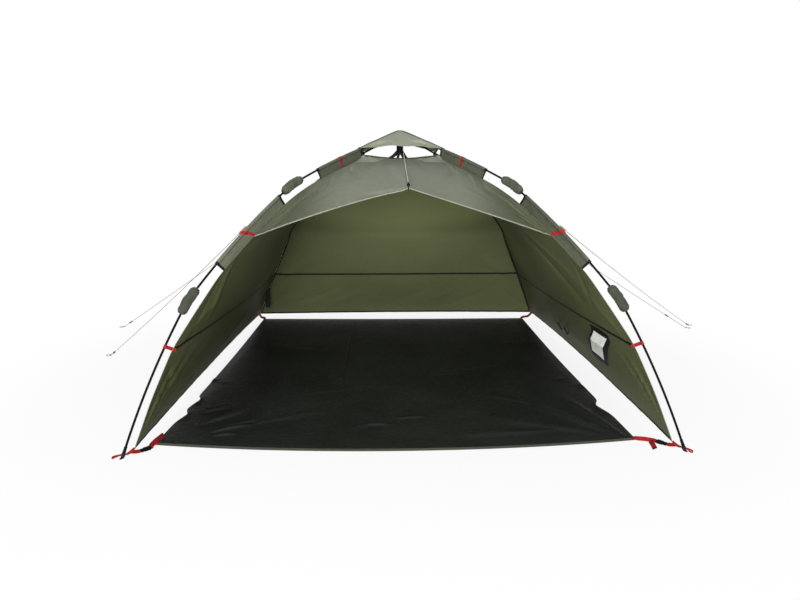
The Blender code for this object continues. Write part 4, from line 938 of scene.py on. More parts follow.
class Panel:
    """One cloth panel of the canopy, made as gores that meet edge to edge."""

    def __init__(self, name, surface, cuts, rows, step, extra_columns=(), depth=1.0):
        self.name, self.depth = name, depth
        self.us = columns_between(cuts, step, finer=name != "cap_cover")
        if extra_columns:
            self.us = with_values(self.us, extra_columns, step * 0.3)
        self.cuts, self.vs, self.surface = cuts, rows, surface
        self.u, self.v = np.meshgrid(self.us, self.vs, indexing="ij")

    def lay(self, warp=None):
        """Work out each grid point's place, and where it lies on the flat cloth."""
        if warp is not None:
            self.u, self.v = warp(self.u, self.v)
        self.base = self.surface(self.u, self.v)
        down = np.linalg.norm(np.diff(self.base, axis=1), axis=-1)
        across = np.linalg.norm(np.diff(self.base, axis=0), axis=-1)
        self.y = np.concatenate([np.zeros((len(self.us), 1)), down.cumsum(axis=1)], axis=1)
        x = np.concatenate([np.zeros((1, len(self.vs))), across.cumsum(axis=0)], axis=0)
        self.x = x - x[-1:] / 2
        self.half = x[-1] / 2
        self.relief = np.zeros_like(self.x)
        self.out, self.inn = np.full_like(self.x, CLOTH_HALF), np.full_like(self.x, CLOTH_HALF)
        self.edge = np.full_like(self.x, 0.5)
        shape = (len(self.us) - 1, len(self.vs) - 1)
        self.outer_slot, self.inner_slot = np.zeros(shape, int), np.ones(shape, int)
        self.hole = np.zeros(shape, bool)

    def at(self, u, v):
        """The flat place of a point of the panel."""
        column = int(round(float(np.interp(u, self.us, np.arange(len(self.us))))))
        near = shares(self.us, self.v[column], u, v)
        return tuple(sum(f[i, j] * w for i, j, w in near) for f in (self.x, self.y))

    def folds(self, rows, mirror=False):
        """Put in folds given as u and v of the start, u and v of the end, width, height and steepness."""
        for u0, v0, u1, v1, width, height, *steep in rows:
            steep = steep[0] if steep else 1.0
            if mirror:
                u0, u1, steep = 1 - u0, 1 - u1, 1 / steep
            ends = self.at(u0, v0), self.at(u1, v1)
            self.relief += crease(self.x, self.y, *ends, width * 0.85, height * self.depth, steep)

    def hem(self, distance, width, thickness, inside, slot=None):
        """Thicken the cloth where distance to an edge is under width, as a folded hem does."""
        band = 1 - np.clip((distance - width) / 0.0015, 0, 1)
        self.out = np.maximum(self.out, CLOTH_HALF + thickness * band)
        self.inn = np.maximum(self.inn, CLOTH_HALF + inside * band)
        self.edge = np.minimum(self.edge, distance)
        if slot is not None:
            centre = (distance[1:, 1:] + distance[:-1, :-1] + distance[1:, :-1] + distance[:-1, 1:]) / 4
            self.outer_slot[centre < width] = slot
            self.inner_slot[centre < width] = slot

    def finish(self, materials, node, slot, rests_on):
        """Make the gores, and return each one's horizontal direction out from the tent's axis."""
        self.points = self.base + smoothed_normals(self.base) * self.relief[..., None]
        self.normal = smoothed_normals(self.points)
        outer = self.points + self.normal * self.out[..., None]
        inner = self.points - self.normal * self.inn[..., None]
        flat_at = np.stack([self.x, self.y, self.edge], axis=-1)
        axes = []
        for number, (a, b) in enumerate(zip(self.cuts, self.cuts[1:]), 1):
            i0, i1 = (int(np.abs(self.us - c).argmin()) for c in (a, b))
            fields = (field[i0 : i1 + 1] for field in (outer, inner, self.normal, flat_at))
            gore, area = self.gore(f"{self.name}_{number}", *fields, i0, i1, materials)
            middle = self.base[(i0 + i1) // 2, len(self.vs) // 2]
            axes.append(Vector((middle[0], middle[1], 0)).normalized())
            stand(gore, "root", slot, node)
            gather(gore)
            size = np.ptp(self.x[i0 : i1 + 1], axis=0).max(), self.y[i0 : i1 + 1].max()
            size = [float(s) + 0.004 for s in size]
            area = min(max(area, 0.31 * size[0] * size[1]), size[0] * size[1])
        return axes

    def gore(self, name, outer, inner, normal, flat_at, i0, i1, materials):
        """One gore, and its cloth's area."""
        nu, nv = outer.shape[:2]
        total = nu * nv
        points = np.concatenate([outer.reshape(-1, 3), inner.reshape(-1, 3)])
        where = np.concatenate([flat_at.reshape(-1, 3)] * 2)
        normals = np.concatenate([normal.reshape(-1, 3), -normal.reshape(-1, 3)])
        index = np.arange(total).reshape(nu, nv)
        hole = self.hole[i0:i1]
        i, j = np.nonzero(~hole)
        top = np.stack([index[i, j], index[i, j + 1], index[i + 1, j + 1], index[i + 1, j]], axis=1)
        low = top[:, [0, 3, 2, 1]] + total
        slots = [self.outer_slot[i0:i1][i, j], self.inner_slot[i0:i1][i, j]]
        rims, rim_slots = [], []
        solid = np.pad(~hole, 1)
        around = {(-1, 0): (0, 1, 0, 0), (1, 0): (1, 0, 1, 1), (0, -1): (0, 0, 1, 0), (0, 1): (1, 1, 0, 1)}
        for (di, dj), (ai, aj, bi, bj) in around.items():
            free = ~solid[i + 1 + di, j + 1 + dj]
            a, b = index[i[free] + ai, j[free] + aj], index[i[free] + bi, j[free] + bj]
            rims.append(np.stack([a, b, b + total, a + total], axis=1))
            rim_slots.append(slots[0][free])
        rims = np.concatenate(rims)
        faces = np.concatenate([top, low, rims])
        square = np.cross(points[rims[:, 1]] - points[rims[:, 0]], points[rims[:, 3]] - points[rims[:, 0]])
        square /= np.maximum(np.linalg.norm(square, axis=-1, keepdims=True), 1e-12)
        corner_normals = np.concatenate([normals[top], normals[low], np.repeat(square[:, None], 4, axis=1)])
        used = np.unique(faces)
        renumber = np.zeros(len(points), int)
        renumber[used] = np.arange(len(used))
        made = build(
            name,
            points[used].tolist(),
            renumber[faces].tolist(),
            materials,
            np.concatenate(slots + rim_slots).tolist(),
            where[used],
            corner_normals.reshape(-1, 3).tolist(),
        )
        corners = points[top]
        sides = [corners[:, k] - corners[:, 0] for k in (1, 2, 3)]
        halves = [np.linalg.norm(np.cross(sides[k], sides[k + 1]), axis=1) for k in (0, 1)]
        return made, float(sum(halves).sum() / 2)


def fan(from_degrees, to_degrees, count):
    """Where gores of even angle meet, as u across a panel."""
    return [0.5 + 0.5 * math.tan(a) for a in angles(from_degrees, to_degrees - from_degrees, count)]


QUARTER = fan(-45, 45, 9)


def awning():
    rows = with_values(np.linspace(0, 1, int(84 / FINE)), [0.010, 0.022, 0.978, 0.989], 0.005)
    panel = Panel("front_awning", awning_surface, QUARTER, rows, 0.0075 * FINE, depth=2.2)
    panel.lay()
    x, y = panel.x, panel.y
    panel.relief += 0.0030 * swell(x, y, 3, 0.9) * np.sin(math.pi * panel.v) * np.sin(math.pi * panel.u)
    panel.relief += 0.0009 * swell(x, y, 8, 0.22) * np.sin(math.pi * panel.v)
    # Folds that fan out from the clips and the guy tabs, and the drawn-up tip
    from_leg = [
        (0.02, 0.995, 0.16, 0.52, 0.020, -0.0070),
        (0.01, 0.985, 0.10, 0.66, 0.011, 0.0055),
        (0.015, 0.93, 0.11, 0.44, 0.018, -0.0050),
        (0.05, 0.21, 0.30, 0.62, 0.020, -0.0040),
        (0.03, 0.30, 0.17, 0.66, 0.013, 0.0042),
        (0.02, 0.37, 0.11, 0.72, 0.012, -0.0045),
        (0.05, 0.12, 0.17, 0.46, 0.014, 0.0038),
        (0.01, 0.03, 0.26, 0.055, 0.011, 0.0058),
        (0.02, 0.085, 0.30, 0.090, 0.013, -0.0040),
        (0.004, 0.99, 0.060, 0.72, 0.008, -0.0052),
        (0.004, 0.97, 0.045, 0.60, 0.008, 0.0050),
        (0.010, 0.95, 0.028, 0.56, 0.009, -0.0050),
        (0.004, 0.985, 0.13, 0.60, 0.012, -0.0040, 1.9),
        (0.006, 0.94, 0.085, 0.50, 0.011, -0.0045, 1.9),
        (0.02, 0.99, 0.24, 0.66, 0.016, -0.0030, 1.9),
    ]
    for mirror in (False, True):
        panel.folds(from_leg, mirror)
    in_the_middle = [
        (0.5, 1.00, 0.42, 0.30, 0.030, 0.0050),
        (0.5, 1.02, 0.56, 0.45, 0.022, -0.0040),
        (0.5, 1.02, 0.335, 0.90, 0.020, -0.0045),
        (0.30, 0.0, 0.34, 0.55, 0.030, 0.0035),
        (0.66, 0.0, 0.64, 0.50, 0.030, -0.0030),
    ]
    panel.folds(in_the_middle)
    hem = y[:, -1:] - y
    panel.relief += 0.0012 * swell(x, y, 21, 0.10) * np.exp(-y / 0.05)
    # The rim is turned up towards the clips
    outer = np.abs(2 * panel.u - 1)
    panel.relief += 0.020 * outer**1.5 * np.exp(-((y / (0.012 + 0.016 * outer)) ** 1.5))
    panel.hem(y, 0.012, 0.0008, 0.0006, slot=2)
    panel.hem(hem, 0.012, 0.0009, 0.0007)
    # Painted highlight: a pale line along the hem's very edge, in the lighter cap cloth
    panel.hem(hem, 0.005, 0.0010, 0.0008, slot=3)
    panel.hem(panel.half - np.abs(x), 0.006, 0.0006, 0.0004, slot=2)
    # Painted highlight: the curled-up rim towards the clips takes the lighter cap cloth
    curl_highlight = (y < 0.034) & (outer > 0.42) & (outer < 0.97)
    panel.outer_slot[curl_highlight[1:, 1:] & curl_highlight[:-1, :-1] & (panel.outer_slot != 2)] = 3
    rests_on = [f"top_channel_{leg}.sleeve" for leg in ("fl", "fr")]
    panel.finish(["awning", "inner", "binding", "cap"], "front_awning", "grey_fabric", rests_on)
    return panel


def seam_warp(leg_one, leg_two, lean=None):
    """Bend the grid so that its row at SEAM runs along the seam, and lean its columns at a window."""
    one, two = (v_at_height(leg, SEAM_HEIGHT[leg[0]]) for leg in (leg_one, leg_two))

    def warp(u, v):
        line = one + (two - one) * u
        down = np.where(v <= SEAM, v / SEAM * line, line + (v - SEAM) / (1 - SEAM) * (1 - line))
        if lean is None:
            return u, down
        middle, centre, reach = lean
        off = (down - centre) / reach
        push = WINDOW_LEAN * np.clip(off, -1, 1) + 0.016 * np.clip(1 - np.abs(off), 0, 1)
        push = push * np.sin(math.pi * np.clip(u / (2 * middle), 0, 1)) ** 1.5
        return u + push * np.clip((down - 0.45) / 0.25, 0, 1), down

    return warp


def wall(name, one, two, sag, lift, cuts, folds, mirror=False, columns=(), rows=(), lean=None, cut=None):
    """One wall from the vent rim to the ground, with the taped seam across it."""
    extra = [SEAM - 0.0042, SEAM, SEAM + 0.0042, 0.008, 0.985, 0.9925, *rows]
    rows = with_values(np.linspace(0, 1, int(92 / FINE)), extra, 0.0042)
    columns = [0.003, 0.997, *columns]
    panel = Panel(name, wall_surface(one, two, sag, lift), cuts, rows, 0.0082 * FINE, columns, depth=1.25)
    panel.lay(seam_warp(one, two, lean))
    x, y = panel.x, panel.y
    tall = y[:, -1:]
    edge = panel.half - np.abs(x)
    inside = np.sin(math.pi * panel.u) ** 0.6
    panel.relief += 0.0042 * swell(x, y, len(name), 1.1) * inside * np.sin(math.pi * panel.v)
    panel.relief += 0.0012 * swell(x, y, len(name) + 5, 0.30) * inside
    panel.folds(folds, mirror)
    # The hem and the seam are a little shorter than the cloth beside them, which puckers
    off_seam = np.abs(y - y[:, [int(np.abs(rows - SEAM).argmin())]])
    panel.relief += 0.0009 * swell(x * 2.0, y, 41, 0.11) * np.exp(-off_seam / 0.030)
    panel.relief += 0.0016 * swell(x * 1.4, y, 43, 0.13) * np.exp(-(tall - y) / 0.045)
    panel.hem(y, 0.014, 0.0008, 0.0006, slot=2)
    panel.hem(tall - y, 0.010, 0.0008, 0.0008, slot=3)
    at_rear = ((x < 0) & (one[0] == "r")) | ((x > 0) & (two[0] == "r"))
    panel.hem(edge, 0.007, 0.0007, 0.0005, slot=4)
    panel.hem(np.where(at_rear, edge, 1.0), 0.007, 0.0007, 0.0005, slot=3)
    taped = off_seam[:, :-1] + off_seam[:, 1:] < 0.0135
    band = off_seam < 0.0068
    panel.inn = np.where(band, np.maximum(panel.inn, CLOTH_HALF + 0.0011), panel.inn)
    panel.out = np.where(band, np.maximum(panel.out, CLOTH_HALF + 0.0005), panel.out)
    panel.inner_slot[(taped[1:] & taped[:-1]) & (panel.inner_slot != 2)] = 3
    panel.edge = np.minimum(panel.edge, off_seam)
    if cut:
        cut(panel)
    # Each side wall takes an inside cloth with its own painted light and shade
    cloth = {"left_wall": "inner_left", "right_wall": "inner_right"}.get(name, "inner")
    rests_on = [f"mid_channel_{leg}.sleeve" for leg in (one, two)]
    axes = panel.finish(["outer", cloth, "binding", "tape", "edging"], name, "olive_fabric", rests_on)
    return panel, axes


# Folds of the walls. On the sides u runs from the front leg (0) to the rear leg (1), at the rear from right to left
SIDE_FOLDS = [(0.98, 0.80, 0.84, 0.62, 0.030, -0.0050), (0.99, 0.985, 0.88, 0.76, 0.024, 0.0050)]
for k in range(7):
    start, end = (0.004 + 0.004 * k, 0.975 - 0.012 * k), (0.015 + 0.020 * k, 0.80 + 0.010 * k)
    SIDE_FOLDS.append((*start, *end, 0.0075, 0.0026 - 0.0002 * k))
SIDE_FOLDS += [(0.006, 0.815, 0.025 + 0.030 * k, 0.93 - 0.008 * k, 0.0080, 0.0020) for k in range(4)]


def from_corner(rows):
    """Folds that fan out from the lower front corner."""
    return [(0.008, 0.985, reach, 0.81, width * 0.7, height * 0.55) for reach, width, height in rows]


LEFT_FOLDS = SIDE_FOLDS + [
    (0.015, 0.78, 0.14, 0.62, 0.030, -0.0028),
    (0.015, 0.80, 0.10, 0.93, 0.022, 0.0045),
    (0.01, 0.50, 0.14, 0.74, 0.034, -0.0050),
    (0.01, 0.52, 0.07, 0.77, 0.020, 0.0025),
    (0.70, 0.84, 0.38, 0.97, 0.030, -0.0040),
]
LEFT_FOLDS += from_corner([(0.045, 0.016, 0.0060), (0.085, 0.020, -0.0060), (0.125, 0.018, 0.0050)])
LEFT_FOLDS += from_corner([(0.17, 0.026, -0.0045), (0.24, 0.034, 0.0040)])
RIGHT_FOLDS = SIDE_FOLDS + [
    (0.02, 0.78, 0.15, 0.62, 0.028, -0.0025),
    (0.36, 0.44, 0.20, 0.70, 0.026, 0.0050),
    (0.30, 0.40, 0.12, 0.62, 0.030, -0.0040),
    (0.02, 0.50, 0.16, 0.70, 0.022, 0.0022),
    (0.50, 0.86, 0.62, 0.95, 0.016, -0.0050),
    (0.44, 0.84, 0.56, 0.97, 0.020, 0.0045),
]
RIGHT_FOLDS += from_corner([(0.045, 0.016, 0.0055), (0.085, 0.018, -0.0060), (0.125, 0.020, 0.0050)])
RIGHT_FOLDS += from_corner([(0.175, 0.026, -0.0040)])
REAR_FOLDS = [
    (0.10, 0.83, 0.32, 0.965, 0.022, 0.0050),
    (0.22, 0.83, 0.46, 0.965, 0.020, -0.0042),
    (0.34, 0.83, 0.58, 0.965, 0.024, 0.0040),
    (0.56, 0.83, 0.80, 0.965, 0.024, -0.0038),
    (0.70, 0.83, 0.94, 0.965, 0.020, 0.0045),
    (0.02, 0.80, 0.16, 0.66, 0.030, -0.0045),
    (0.98, 0.80, 0.84, 0.66, 0.030, -0.0045),
    (0.012, 0.985, 0.10, 0.84, 0.020, 0.0050),
    (0.988, 0.985, 0.90, 0.84, 0.020, 0.0050),
    (0.35, 0.05, 0.30, 0.62, 0.050, 0.0040),
    (0.66, 0.05, 0.70, 0.62, 0.050, -0.0040),
]


def right_wall():
    """The right wall, with the opening for its window. Returns the panel, its axes and the window's rows."""
    middle = sum(WINDOW_U) / 2
    lean = (middle, sum(WINDOW_V) / 2, (WINDOW_V[1] - WINDOW_V[0]) / 2)
    rows = np.linspace(0, 1, 4001)
    down = seam_warp("fr", "rr")(np.full_like(rows, middle), rows)[1]
    window_rows = [float(np.interp(v, down, rows)) for v in WINDOW_V]
    cuts = [0.0, 0.090, WINDOW_U[0] - 0.036, WINDOW_U[1] + 0.030, 0.385, 0.474, 0.563, 0.655, 0.750, 0.860, 1.0]

    def within(values, ends):
        inside = (values >= ends[0] - 1e-9) & (values <= ends[1] + 1e-9)
        return inside[:-1] & inside[1:]

    def cut(panel):
        panel.hole |= np.outer(within(panel.us, WINDOW_U), within(panel.vs, window_rows))

    sides = {"columns": WINDOW_U, "rows": window_rows, "lean": lean, "cut": cut}
    return (*wall("right_wall", "fr", "rr", SIDE_SAG, SIDE_HEM_LIFT, cuts, RIGHT_FOLDS, **sides), window_rows)


awning_panel = awning()
_, left_axes = wall("left_wall", "rl", "fl", SIDE_SAG, SIDE_HEM_LIFT, QUARTER, LEFT_FOLDS, mirror=True)
rear_panel, _ = wall("rear_wall", "rr", "rl", REAR_SAG, REAR_HEM_LIFT, QUARTER, REAR_FOLDS)
right_panel, right_axes, WINDOW_ROWS = right_wall()


def ridge_tape(leg):
    """The dark tape that closes the seam between two walls along a rear leg, inside the canopy."""
    out, across = turned(leg, AHEAD), turned(leg, ASIDE)
    places = [Vector(ridge_place(leg, v, 0)) for v in np.linspace(0.004, 0.996, 110)]
    # A folded strip: its middle lies in the seam and its edges on the two walls
    section = [(0.0064, -0.0088), (0.0, -0.0026), (-0.0064, -0.0088)]
    section += [(-0.0058, -0.0094), (0.0, -0.0040), (0.0058, -0.0094)]
    rings = [[place + across * a + out * b for a, b in section] for place in places]
    where = [(a, along, 0.004) for along in lengths_along(places) for a, _ in section]
    made = sharpen(outward(build(f"ridge_tape_{leg}", *skin(rings), ["tape"], flat_at=where)), 50)
    stand(made, "root", "black_webbing", "rear_wall")
    gather(made)


for leg_name in ("rl", "rr"):
    ridge_tape(leg_name)


def point_on(panel, u, row, lift):
    """A point on a finished panel at u and grid row value, raised by lift along its outward normal."""
    near = shares(panel.us, panel.vs, u, row)
    place, up = (sum(field[i, j] * w for i, j, w in near) for field in (panel.points, panel.normal))
    return Vector(place + up / np.linalg.norm(up) * lift), Vector(up).normalized()


def window():
    """The side window: a creased pane, with a black frame sewn round it on the inside."""
    nu, nv = 36, 30
    places, where = [], []
    u0, u1 = WINDOW_U[0] - 0.004, WINDOW_U[1] + 0.004
    r0, r1 = WINDOW_ROWS[0] - 0.004, WINDOW_ROWS[1] + 0.004
    for a in steps(nu + 1):
        for b in steps(nv + 1):
            # One long fold across the pane, and shallow waves
            rise = 0.0040 * bell(b - 0.40 - 0.10 * (a - 0.5), 0.09) - 0.0030 * bell(b - 0.52, 0.12)
            rise += 0.0016 * math.sin(7.0 * a + 3.0 * b) * math.sin(math.pi * b)
            rise *= (math.sin(math.pi * a) * math.sin(math.pi * b)) ** 0.4 if 0 < a < 1 and 0 < b < 1 else 0
            places.append(point_on(right_panel, u0 + (u1 - u0) * a, r0 + (r1 - r0) * b, -0.0014 - rise))
            where.append((a * 0.16, b * 0.19, 0.0))
    points = [p + up * 0.00025 for p, up in places] + [p - up * 0.00025 for p, up in places]
    faces, count = [], len(places)
    for i in range(nu):
        for k in range(i * (nv + 1), i * (nv + 1) + nv):
            cell = (k, k + nv + 1, k + nv + 2, k + 1)
            faces += [cell, tuple(c + count for c in reversed(cell))]
    border = [i * (nv + 1) for i in range(nu)] + [nu * (nv + 1) + j for j in range(nv)]
    border += [i * (nv + 1) + nv for i in range(nu, 0, -1)] + list(range(nv, 0, -1))
    for a, b in zip(border, border[1:] + border[:1]):
        faces.append((b, a, a + count, b + count))
    pane = build("side_window.pane", points, faces, ["film"], flat_at=where * 2)
    stand(pane, "root", "window", "side_window")
    gather(pane)

    def spread(u, row, du, dr, out):
        """A place out from the frame's line, farther on its front side, with rounded corners."""
        round_off = 1 - (0.58 if du < 0 and dr > 0 else 0.26) * (abs(du) * abs(dr)) ** 1.5
        wide_u = 0.0085 * (2.5 if du < 0 and out > 0 else 1.0)
        wide_r = 0.0130 * ((1.5 if dr > 0 else 1.1) if out > 0 else 1.0)
        out *= round_off
        return u + du * abs(du) ** 3 * wide_u * out, row + dr * abs(dr) ** 3 * wide_r * out

    # The frame: a padded black band round the pane, wider along the front edge
    corners = [(u0, r0), (u1, r0), (u1, r1), (u0, r1)]
    rings = []
    for k in range(4):
        (ua, ra), (ub, rb) = corners[k], corners[(k + 1) % 4]
        for t in steps(19)[:-1]:
            u, row = ua + (ub - ua) * t, ra + (rb - ra) * t
            du, dr = (2 * u - u0 - u1) / (u1 - u0), (2 * row - r0 - r1) / (r1 - r0)
            reach = max(abs(du), abs(dr))
            du, dr = du / reach, dr / reach
            bumpy = 0.0004 * math.sin(31 * t + k)
            ring = [(-0.45, 0.0018), (-0.40, 0.0029), (0.1, 0.0038 + bumpy), (0.6, 0.0035 + bumpy)]
            ring += [(1.0, 0.0028), (1.03, 0.0018), (1.03, 0.0012), (-0.45, 0.0012)]
            rings.append([point_on(right_panel, *spread(u, row, du, dr, out), -high)[0] for out, high in ring])
    where = [(k * 0.012, m * 0.004, 0.002 + 0.004 * m) for k in range(len(rings)) for m in range(8)]
    rim = build("side_window.frame", *skin(rings, closed=True), ["black_cloth"], flat_at=where)
    sharpen(outward(rim), 50)
    stand(rim, "root", "black_webbing", "side_window")
    gather(rim)


window()


def cap():
    """The vent cap: a four-sided pyramid with a soft hem, whose corners are tied to the channels."""
    rows = with_values(np.linspace(0.012, 1, int(56 / FINE)), [0.955, 0.975], 0.007)
    panel = Panel("cap_cover", cap_surface, [k / 8 for k in range(9)], rows, 0.0042 * FINE)
    panel.lay()
    side_at = np.floor(panel.u * 4 - 1e-12)
    part = panel.u * 4 - side_at
    side_at = side_at.clip(0)
    around = panel.u * 4 * CAP_SIDE
    x, y = panel.base[..., 0], panel.base[..., 1]
    panel.x, panel.y = around * panel.v, np.hypot(x, y)
    corner = np.minimum(part, 1 - part)
    # Soft folds that fan from each corner, a slightly wavy hem, and rounded ridges
    fanned = ((0.24, 0.60, 0.0080, 0.016, 2.6), (0.38, 0.70, -0.0078, 0.014, 2.2), (0.50, 0.36, 0.0085, 0.018, 2.8))
    for side in range(4):
        for end, reach, depth, width, steep in fanned:
            for start, finish, turn in ((0, end, steep), (1, 1 - end, 1 / steep)):
                a, b = cap_surface((side + start) / 4, 1.0)[:2], cap_surface((side + finish) / 4, reach)[:2]
                a = a + (b - a) * 0.22
                panel.relief += crease(x, y, a, b, width, depth, turn) * (side_at == side)
    panel.relief += 0.0026 * np.sin(around * 2 * math.pi / 0.152 + 0.7) * panel.v**6
    panel.relief -= 0.0016 * bell(corner * CAP_SIDE, 0.012) * np.sin(math.pi * panel.v.clip(0, 1))
    facing = np.where(side_at % 2 == 1, 0.35, 1.0)
    panel.relief *= np.clip(corner * 5.5, 0.0, 1) * np.clip(panel.v * 5, 0, 1) * facing
    panel.hem((1 - panel.v) * 0.30, 0.010, 0.0007, 0.0005)
    from_ridge = corner * CAP_SIDE * panel.v
    panel.edge = np.minimum(panel.edge, np.maximum(from_ridge, 0.001) + 0.002)
    # Painted shade along each of the four ridges, made as a dark binding over them
    ridge_shade = from_ridge < 0.0160
    panel.out = np.where(ridge_shade, CLOTH_HALF + 0.0006, panel.out)
    panel.outer_slot[ridge_shade[1:, 1:] & ridge_shade[:-1, :-1]] = 2
    rests_on = [f"top_channel_{leg}.sleeve" for leg in LEGS]
    panel.finish(["cap", "inner", "binding"], "cap_cover", "grey_fabric", rests_on)


cap()


def cap_button():
    """The small sewn patch at the cap's tip, where its four seams meet."""
    profile = [(0, 0), (0.004, -0.0005), (0.0075, -0.0018), (0.0095, -0.0032), (0.0098, -0.0044)]
    profile += [(0.0070, -0.0048), (0, -0.0048)]
    points, faces = lathe(RISE * (CAP_APEX + 0.0006), RISE, profile, 24, AHEAD)
    where = [(p.x, p.y, 0.004 + 0.2 * (0.012 - math.hypot(p.x, p.y))) for p in points]
    made = sharpen(build("cap_cover.button", points, faces, ["cap"], flat_at=where), 60)
    stand(made, "root", "grey_fabric", "cap_cover")


cap_button()


# Channels, tabs and clips


def channel(member, leg):
    """A sewn tube of cloth round a pole with a fin down to the canopy's ridge, and bound ends."""
    first, last = (t_at_reach(member, r) for r in CHANNEL_SPAN[member])
    depth = RIDGE_DROP - FIN_CLEARANCE
    a, b = MEMBERS[member]
    long = (b - a).length * (last - first)
    seed = 1 + list(LEGS).index(leg) + (10 if member == "mid" else 0)
    rng = np.random.default_rng(seed)
    waves = [(rng.uniform(28, 70), rng.uniform(0, 6.3)) for _ in range(5)]
    outer, inner, shapes = [], [], []
    for t in steps(41):
        centre, _, out = on_pole(member, first + (last - first) * t)
        wrinkle = sum(math.sin(f * t * long + p) for f, p in waves) / 5
        ends = max(0.0, 1 - min(t, 1 - t) * long / 0.010)
        swelling = CHANNEL_RADIUS * (1.0 + 0.05 * wrinkle) - 0.0006 * ends
        sway = 0.0016 * math.sin(9 * t * long + seed) + 0.0010 * wrinkle
        fin = []
        for m in range(5):
            down = depth - (depth - CHANNEL_RADIUS * 0.98) * m / 4
            fin.append((sway * math.sin(math.pi * m / 4), 0.0008 if m else 0.0005, -down))
        shape = [(bend + half, up) for bend, half, up in fin]
        shape += [(swelling * math.cos(w), swelling * math.sin(w)) for w in angles(-66, 312, 17)]
        shape += [(bend - half, up) for bend, half, up in reversed(fin)]
        outer.append([flat(centre + out * up, side) for side, up in shape])
        turns = angles(-90 + 180 / len(shape), 360, len(shape))[:-1]
        inner.append(on_circle(flat(centre), ASIDE, flat(out), CHANNEL_RADIUS - 0.0022, turns))
        shapes.append((t * long, shape))
    points, faces = skin(outer + inner[::-1], closed=True)
    where = []
    for along, shape in shapes + shapes[::-1]:
        runs = lengths_along([Vector(p) for p in shape])
        for run, (_, up) in zip(runs, shape):
            edge = min(abs(up + CHANNEL_RADIUS), abs(up + depth)) if up < -0.004 else 0.03
            where.append((run, along, min(edge + 0.0012, min(along, long - along) + 0.0005)))
    ends = [(*on_pole(member, t)[:2], sign) for t, sign in ((first, 1), (last, -1))]
    slots = []
    for f in faces:
        middle = sum((points[i] for i in f), Vector()) / len(f)
        slots.append(int(min((middle.xz - end).dot(ahead) * sign for end, ahead, sign in ends) < 0.0062))
    # The right legs' channels take the darker copy of the cloth, as painted shade
    cloth = "top_channel" if member == "top" else "channel_right_shaded" if leg[1] == "r" else "channel"
    made = build(f"{member}_channel_{leg}.sleeve", points, faces, [cloth, "tape"], slots, where)
    sharpen(outward(made), 50)
    moved(made, leg)
    stand(made, f"{member}_{leg}", "channel_fabric", f"{member}_channel_{leg}")
    middle, _, out = on_pole(member, (first + last) / 2)
    return made, {
        "joint": f"hub_hinge_{leg}" if member == "top" else f"upper_knuckle_{leg}",
        "axis": turned(leg, out),
        "anchor": turned(leg, middle),
        "keep": 0.35,
    }


def wrap(name, member, leg, r, width, drop, slant=0.0):
    """Red webbing sewn over a channel and down both sides of its fin."""
    centre, ahead, out = on_pole(member, t_at_reach(member, r))
    radius = CHANNEL_RADIUS + WEBBING / 2 + 0.0004
    side = 0.0009 + WEBBING / 2
    down = [(side, -drop), (side, -drop * 0.6), (side + 0.0004, -CHANNEL_RADIUS - 0.006)]
    path = down + [(radius * math.cos(a), radius * math.sin(a)) for a in angles(-58, 296, 16)]
    path += [(-lateral, up) for lateral, up in reversed(down)]
    line = smooth_line([flat(centre + (out + ahead * slant) * up, lateral) for lateral, up in path], 72)
    made = ribbon(name, line, flat(ahead), width, "red")
    moved(made, leg)
    stand(made, f"{member}_{leg}", "red_webbing", f"{member}_channel_{leg}")
    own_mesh(made)


def clip(leg):
    """The clip's hanging tail: a short folded tab of red webbing with its stitched end."""
    centre, ahead, out = on_pole("top", t_at_reach("top", CLIP_AT))
    low = centre - out * 0.040
    path = [low + out * 0.016, low + out * 0.004, low - out * 0.004 + ahead * 0.003]
    for letter, side in (("a", 1), ("b", -1)):
        line = smooth_line([flat(p, side * (0.0030 + 0.0007 * k)) for k, p in enumerate(path)], 14)
        made = ribbon(f"clip_tail_{leg}_{letter}", line, flat(ahead), 0.009, "red")
        moved(made, leg)
        stand(made, f"top_{leg}", "red_webbing", f"top_channel_{leg}")
        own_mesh(made)


for leg_name in LEGS:
    sleeve, settings = channel("top", leg_name)
    wrap(f"top_clip_{leg_name}", "top", leg_name, CLIP_AT, 0.014, 0.030)
    clip(leg_name)
    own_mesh(sleeve)
    sleeve, settings = channel("mid", leg_name)
    wrap(f"guy_tab_{leg_name}", "mid", leg_name, TAB_AT[leg_name] + 0.022, 0.016, 0.044, 0.75)
    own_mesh(sleeve)


# Padded sleeves over the knuckles

PAD_SIDES = 40
PAD_SEAM = 30  # the column of the seam along the underside


def on_bend(upper, lower, along):
    """The centre, direction and normal of the two poles that meet, from -1 to 1 along a padded sleeve."""
    if along < 0:
        return on_pole(upper, 1 + share(upper, along * PAD_LENGTH / 2))
    return on_pole(lower, share(lower, along * PAD_LENGTH / 2))


